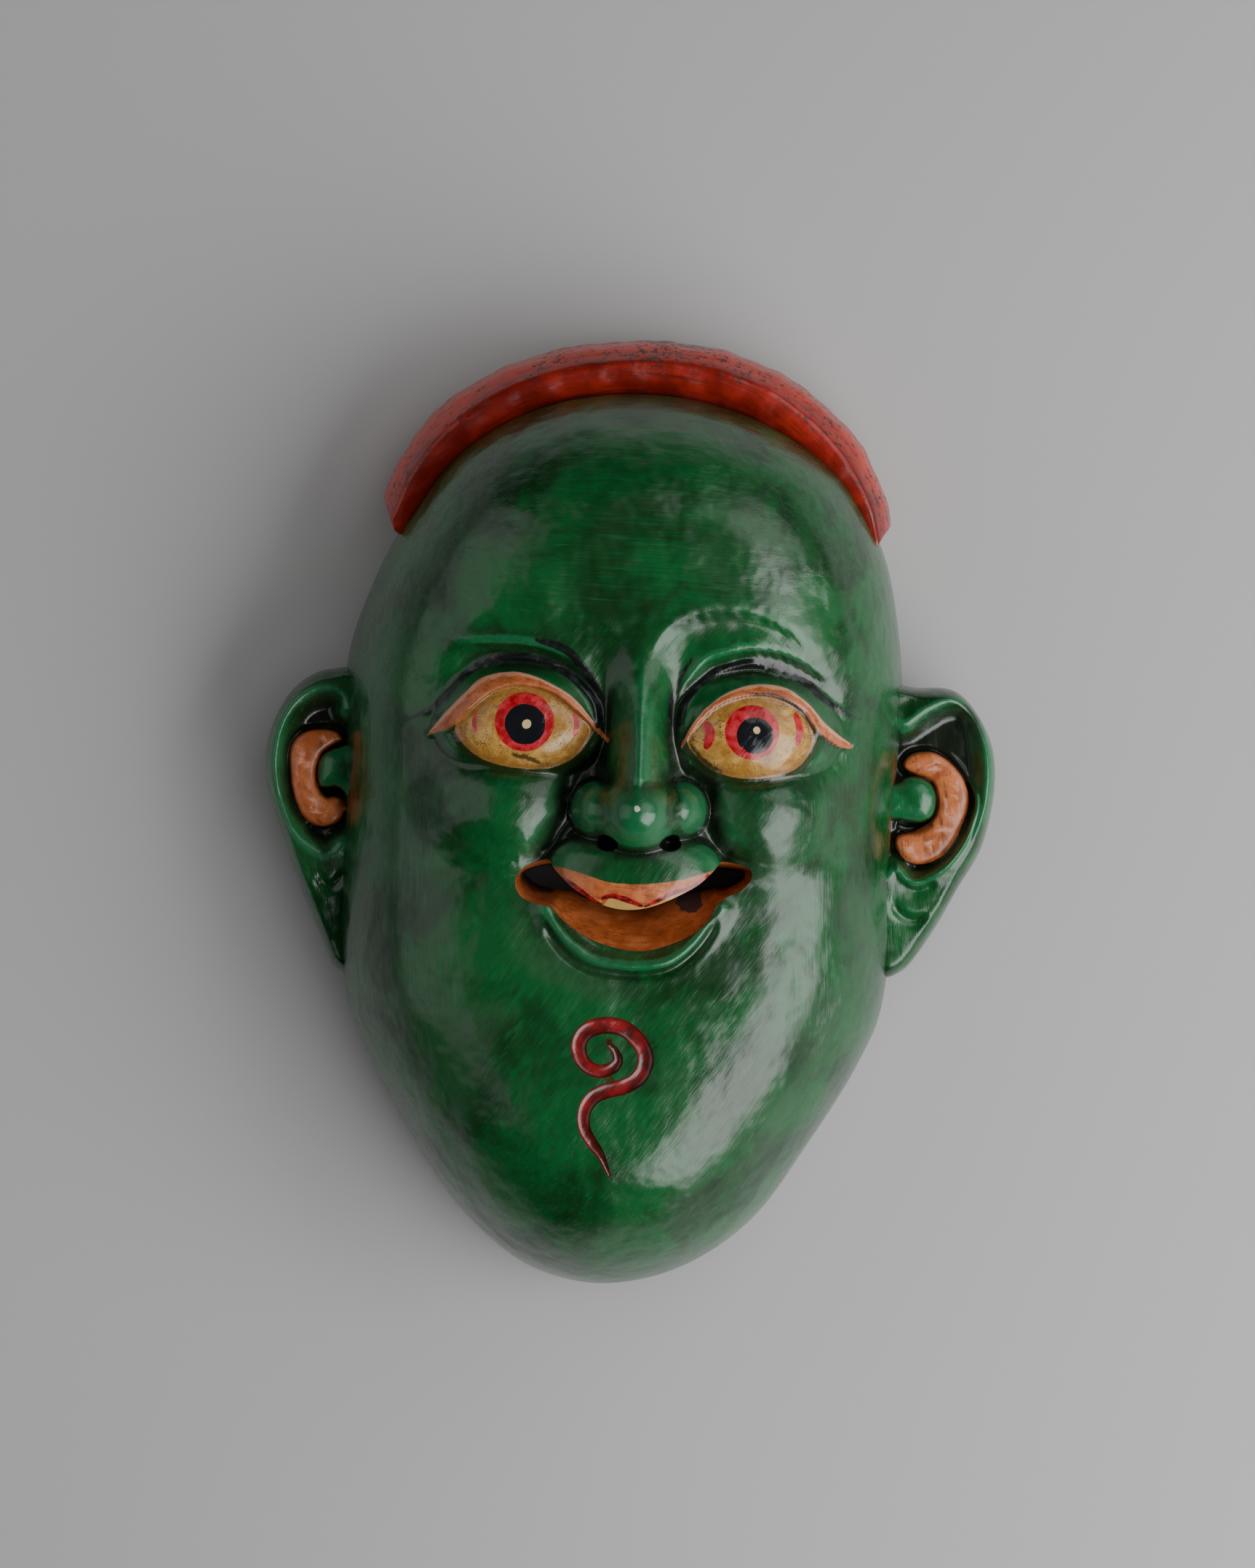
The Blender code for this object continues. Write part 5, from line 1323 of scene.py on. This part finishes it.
# %% The lining of the mouth
lining.use_nodes = True
tree = lining.node_tree
place = place_on(tree)
hairs = use(tree, streaks_group, Place=place, Turn=0.05, Length=14.0, Width=1.0)
height = add(tree, "SeparateXYZ", {0: place}).outputs["Z"]
across = add(tree, "SeparateXYZ", {0: place}).outputs["X"]
# Painted shade: the lining darkens to near black deeper in the mouth and towards its two corners.
corner = rise(tree, calc(tree, "ABSOLUTE", calc(tree, "SUBTRACT", across, MIDLINE)), 22.5, 27.0)
cloud = calc(tree, "MULTIPLY", noise(tree, place, 6, 2, 0.6), 9.0)
top = calc(tree, "SUBTRACT", calc(tree, "ADD", height, cloud), calc(tree, "MULTIPLY", corner, 10.0))
dusk = rise(tree, calc(tree, "SUBTRACT", height, calc(tree, "MULTIPLY", corner, 6.0)), 82, 70, 0.4)
orange = use(tree, orange_group, Place=place, Broad=hairs["Broad"], Fine=hairs["Fine"], Rubbed=0.0,
             Dark=calc(tree, "MAXIMUM", dusk, rise(tree, top, 76, 69, 0.98)))
# Painted shade: a dark grey spot on the lining, as of shaded ground seen through the mouth.
shade_spot = use(tree, disc_group, Place=place, Centre=MOUTH_SPOT, Radius=2.2, Wobble=3.4)["Mask"]
bare = tint(tree, calc(tree, "MULTIPLY", shade_spot, 0.9), orange["Colour"], SHADE["shade grey"])
lacquer_skin(lining, bare, orange["Roughness"], orange["Height"], 0.3)
print("the mouth's finish has", len(tree.nodes), "nodes")

# %% [markdown]
# ## Painting the ears and the brim
#
# The ears are green with an orange crescent, outlined in black. The brim is red lacquer, chipped along
# its outer ridge, which is painted a brighter red as highlight; painted shade darkens the cove, nearly to
# black where it meets the forehead.

# %% The ears
ear_paint = bpy.data.materials.new("ear lacquer")
ear_paint.use_nodes = True
tree = ear_paint.node_tree
place = place_on(tree)
hairs = use(tree, streaks_group, Place=place, Turn=1.45, Length=22.0, Width=1.6)
sunk = calc(tree, "MULTIPLY", kept(tree, "hollow"), 0.8)
bowl = calc(tree, "MULTIPLY_ADD", noise(tree, place, 5, 2), 3.0, kept(tree, "bowl"))
green = use(tree, green_group, Place=place, Broad=hairs["Broad"], Fine=hairs["Fine"], Hollow=sunk,
            Ridge=kept(tree, "ridge"))
layers = green["Colour"], green["Roughness"], green["Height"]
off_lobe = rise(tree, kept(tree, "lobe"), 1.2, -0.6)
shadow = calc(tree, "MULTIPLY", rise(tree, bowl, 2.5, 8.0, 0.93), off_lobe)
layers = paint(tree, layers, shadow, SHADE["ear hollow"], 0.28)
rough_edge = calc(tree, "MULTIPLY_ADD", noise(tree, place, 2.2, 2, 0.6), 0.5, -0.25)
shell = calc(tree, "ADD", kept(tree, "shell"), rough_edge)
layers = paint(tree, layers, rise(tree, shell, -1.5, -0.4, 0.9), SHADE["ear outline"], 0.25)
rubbed = rise(tree, noise(tree, place, 5, 3, 0.6, 0.6), 0.5, 0.68)
rubbed = calc(tree, "MULTIPLY", rubbed, rise(tree, kept(tree, "shell"), 1.0, 2.6))
orange = use(tree, orange_group, Place=place, Broad=hairs["Broad"], Fine=hairs["Fine"], Rubbed=rubbed,
             Dark=0.0)
layers = paint(tree, layers, rise(tree, shell, -0.35, 0.1), orange["Colour"], orange["Roughness"])
lacquer_skin(ear_paint, *layers)
for piece in ears.values():
    piece.data.materials.append(ear_paint)
print("the ears' finish has", len(tree.nodes), "nodes")

# %% The brim
brim_paint = bpy.data.materials.new("brim lacquer")
brim_paint.use_nodes = True
tree = brim_paint.node_tree
place = place_on(tree)
outward, height = kept(tree, "outward"), kept(tree, "height")
along = calc(tree, "MULTIPLY", kept(tree, "along"), 190.0)
run = add(tree, "CombineXYZ", {0: along, 1: outward, 2: height}).outputs[0]
hairs = use(tree, streaks_group, Place=run, Turn=0.03, Length=30.0, Width=1.8)
patches = noise(tree, place, 14, 3, 0.55, 0.4)
colour = tint(tree, rise(tree, patches, 0.35, 0.65), SHADE["deep red"], SHADE["red"])
colour = glaze(tree, colour, hairs["Broad"], 0.46, 0.27, "red shade", 0.65)
colour = glaze(tree, colour, hairs["Fine"], 0.38, 0.26, "red hairline", 0.65)
# Painted highlight: a brighter red along the brim's outer ridge.
crest = calc(tree, "MULTIPLY_ADD", hairs["Broad"], 5.0, outward)
colour = glaze(tree, colour, crest, 5.5, 11.5, "bright red", 0.8)
rough = calc(tree, "MULTIPLY_ADD", hairs["Fine"], 0.2, 0.24)
strokes = calc(tree, "MULTIPLY", hairs["Broad"], 0.14)
dents = use(tree, dents_group, Place=run, Size=1.2)["Height"]
layers = colour, rough, calc(tree, "MULTIPLY_ADD", dents, 0.8, strokes)
# Painted shade: the cove darkens nearly to black towards the forehead.
cove = calc(tree, "MULTIPLY_ADD", hairs["Broad"], -4.0, outward)
layers = paint(tree, layers, rise(tree, cove, -6.0, -10.0, 0.9), SHADE["cove"], 0.2)
chips = use(tree, specks_group, Place=run, Size=1.5, Amount=0.40)["Mask"]
chips = calc(tree, "MULTIPLY", chips, rise(tree, outward, -2.0, 5.0, 0.9))
layers = paint(tree, layers, chips, SHADE["red chip"], 0.45, -0.1)
low = rise(tree, calc(tree, "MULTIPLY_ADD", noise(tree, place, 8, 2), 12.0, height), 16, 4, 0.7)
layers = paint(tree, layers, low, SHADE["red foot"], 0.5)
lacquer_skin(brim_paint, *layers)
brim.data.materials.append(brim_paint)
print("the brim's finish has", len(tree.nodes), "nodes")

# %% [markdown]
# ## The bare back
#
# Behind, the wood was never painted. Gouge strokes and long grain show, darker where sweat and smoke
# have reached it. Only the faces of the rim and the hollow take this finish.

# %% Gouged wood
wood = bpy.data.materials.new("gouged wood")
wood.use_nodes = True
tree = wood.node_tree
place = place_on(tree)
grain = use(tree, streaks_group, Place=place, Turn=1.57, Length=60.0, Width=1.3)
colour = tint(tree, rise(tree, grain["Broad"], 0.3, 0.7), SHADE["wood shade"], SHADE["wood"])
colour = glaze(tree, colour, grain["Fine"], 0.42, 0.28, "wood line", 0.5)
stain = rise(tree, noise(tree, place, 30, 3, 0.6), 0.45, 0.7, 0.6)
colour = tint(tree, stain, colour, SHADE["wood stain"])
specks = use(tree, specks_group, Place=place, Size=1.2, Amount=0.3)["Mask"]
colour = tint(tree, calc(tree, "MULTIPLY", specks, 0.7), colour, SHADE["wood speck"])
gouges = calc(tree, "MULTIPLY", use(tree, dents_group, Place=place, Size=1.6)["Height"], 0.6)
height = calc(tree, "MULTIPLY_ADD", grain["Fine"], 0.12, gouges)
lacquer_skin(wood, colour, calc(tree, "MULTIPLY_ADD", grain["Fine"], 0.2, 0.55), height, 0.0)
head.data.materials.append(wood)


def lay_wood(mesh):
    """Gives the wood to the faces of the flat rim and to those well under the painted front."""
    centres = np.empty(len(mesh.polygons) * 3)
    mesh.polygons.foreach_get("center", centres)
    x, y, z = (centres.reshape(-1, 3) / np.array([ACROSS, UP, OUT])).T
    slots = np.empty(len(mesh.polygons), np.int32)
    mesh.polygons.foreach_get("material_index", slots)
    depth = depth_in_head(x, y, 20)
    bare = (z < 0.6) | ((depth > 6) & (z < np.minimum(head_front(x, y) - 6, HOLLOW_DEPTH + 2)))
    slots[bare & (slots == 0)] = len(mesh.materials) - 1
    mesh.polygons.foreach_set("material_index", slots)
    print("bare wood covers", int((slots == len(mesh.materials) - 1).sum()), "faces")


lay_wood(head.data)
mark_cut_edges(head.data)

# %% [markdown]
# ## Putting the pieces in the frame
#
# Every piece stands for the same solid and rides on the same body.

# %% Pieces and solid
for piece, slot in ((head, "green_lacquer"), (ears["left"], "green_lacquer"),
                    (ears["right"], "green_lacquer"), (brim, "red_lacquer")):
    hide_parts("mask")
    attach(piece, "root")
    print(piece.name, "wears", slot)

# %% [markdown]
# ## Light, floor and camera
#
# The mask lies on a plain pale floor. A broad soft light stands at the lower right and a smaller one at
# the upper right, as from two windows. A weak one at the left is the far wall, and a wide one overhead
# lifts the shadows without showing in the gloss. The camera looks straight down from far off.

# %% Light, floor and camera
def soft_light(name, place, size, power, mirrored=True):
    """A rectangular light that faces the mask, seen or not seen in its gloss."""
    light = bpy.data.lights.new(name, "AREA")
    light.shape, light.energy = "RECTANGLE", power
    light.size, light.size_y = size
    lamp = bpy.data.objects.new(name, light)
    lamp.location = place
    lamp.rotation_euler = (Vector((0, 0, 0.05)) - Vector(place)).to_track_quat("-Z", "Y").to_euler()
    lamp.visible_glossy = mirrored
    bpy.context.scene.collection.objects.link(lamp)


soft_light("window", (0.70, -0.36, 0.68), (1.15, 0.85), 15)
soft_light("upper window", (0.66, 0.62, 0.72), (0.8, 0.8), 3.0)
soft_light("far wall", (-0.80, 0.15, 0.55), (1.2, 0.9), 2.2)
soft_light("ceiling", (0.1, 0.1, 1.6), (1.0, 1.0), 4, False)

pale = bpy.data.materials.new("pale floor")
pale.use_nodes = True
skin = pale.node_tree.nodes["Principled BSDF"]
skin.inputs["Base Color"].default_value = (0.46, 0.46, 0.46, 1)
skin.inputs["Roughness"].default_value = 0.85
corners = np.array([[-3, -3, 0], [3, -3, 0], [3, 3, 0], [-3, 3, 0]], float)
floor = new_piece("floor", corners, [[0, 1, 2, 3]], pale)

lens = bpy.data.cameras.new("camera")
lens.sensor_fit, lens.sensor_height, lens.lens = "VERTICAL", 36, 114.6
camera = bpy.data.objects.new("camera", lens)
camera.location = (-0.0008, 0.00839, 1.625)
camera.rotation_euler = (0, 0, math.radians(1.5))
bpy.context.scene.collection.objects.link(camera)
bpy.context.scene.camera = camera
print("the camera stands", round(camera.location.z, 3), "m above the floor")
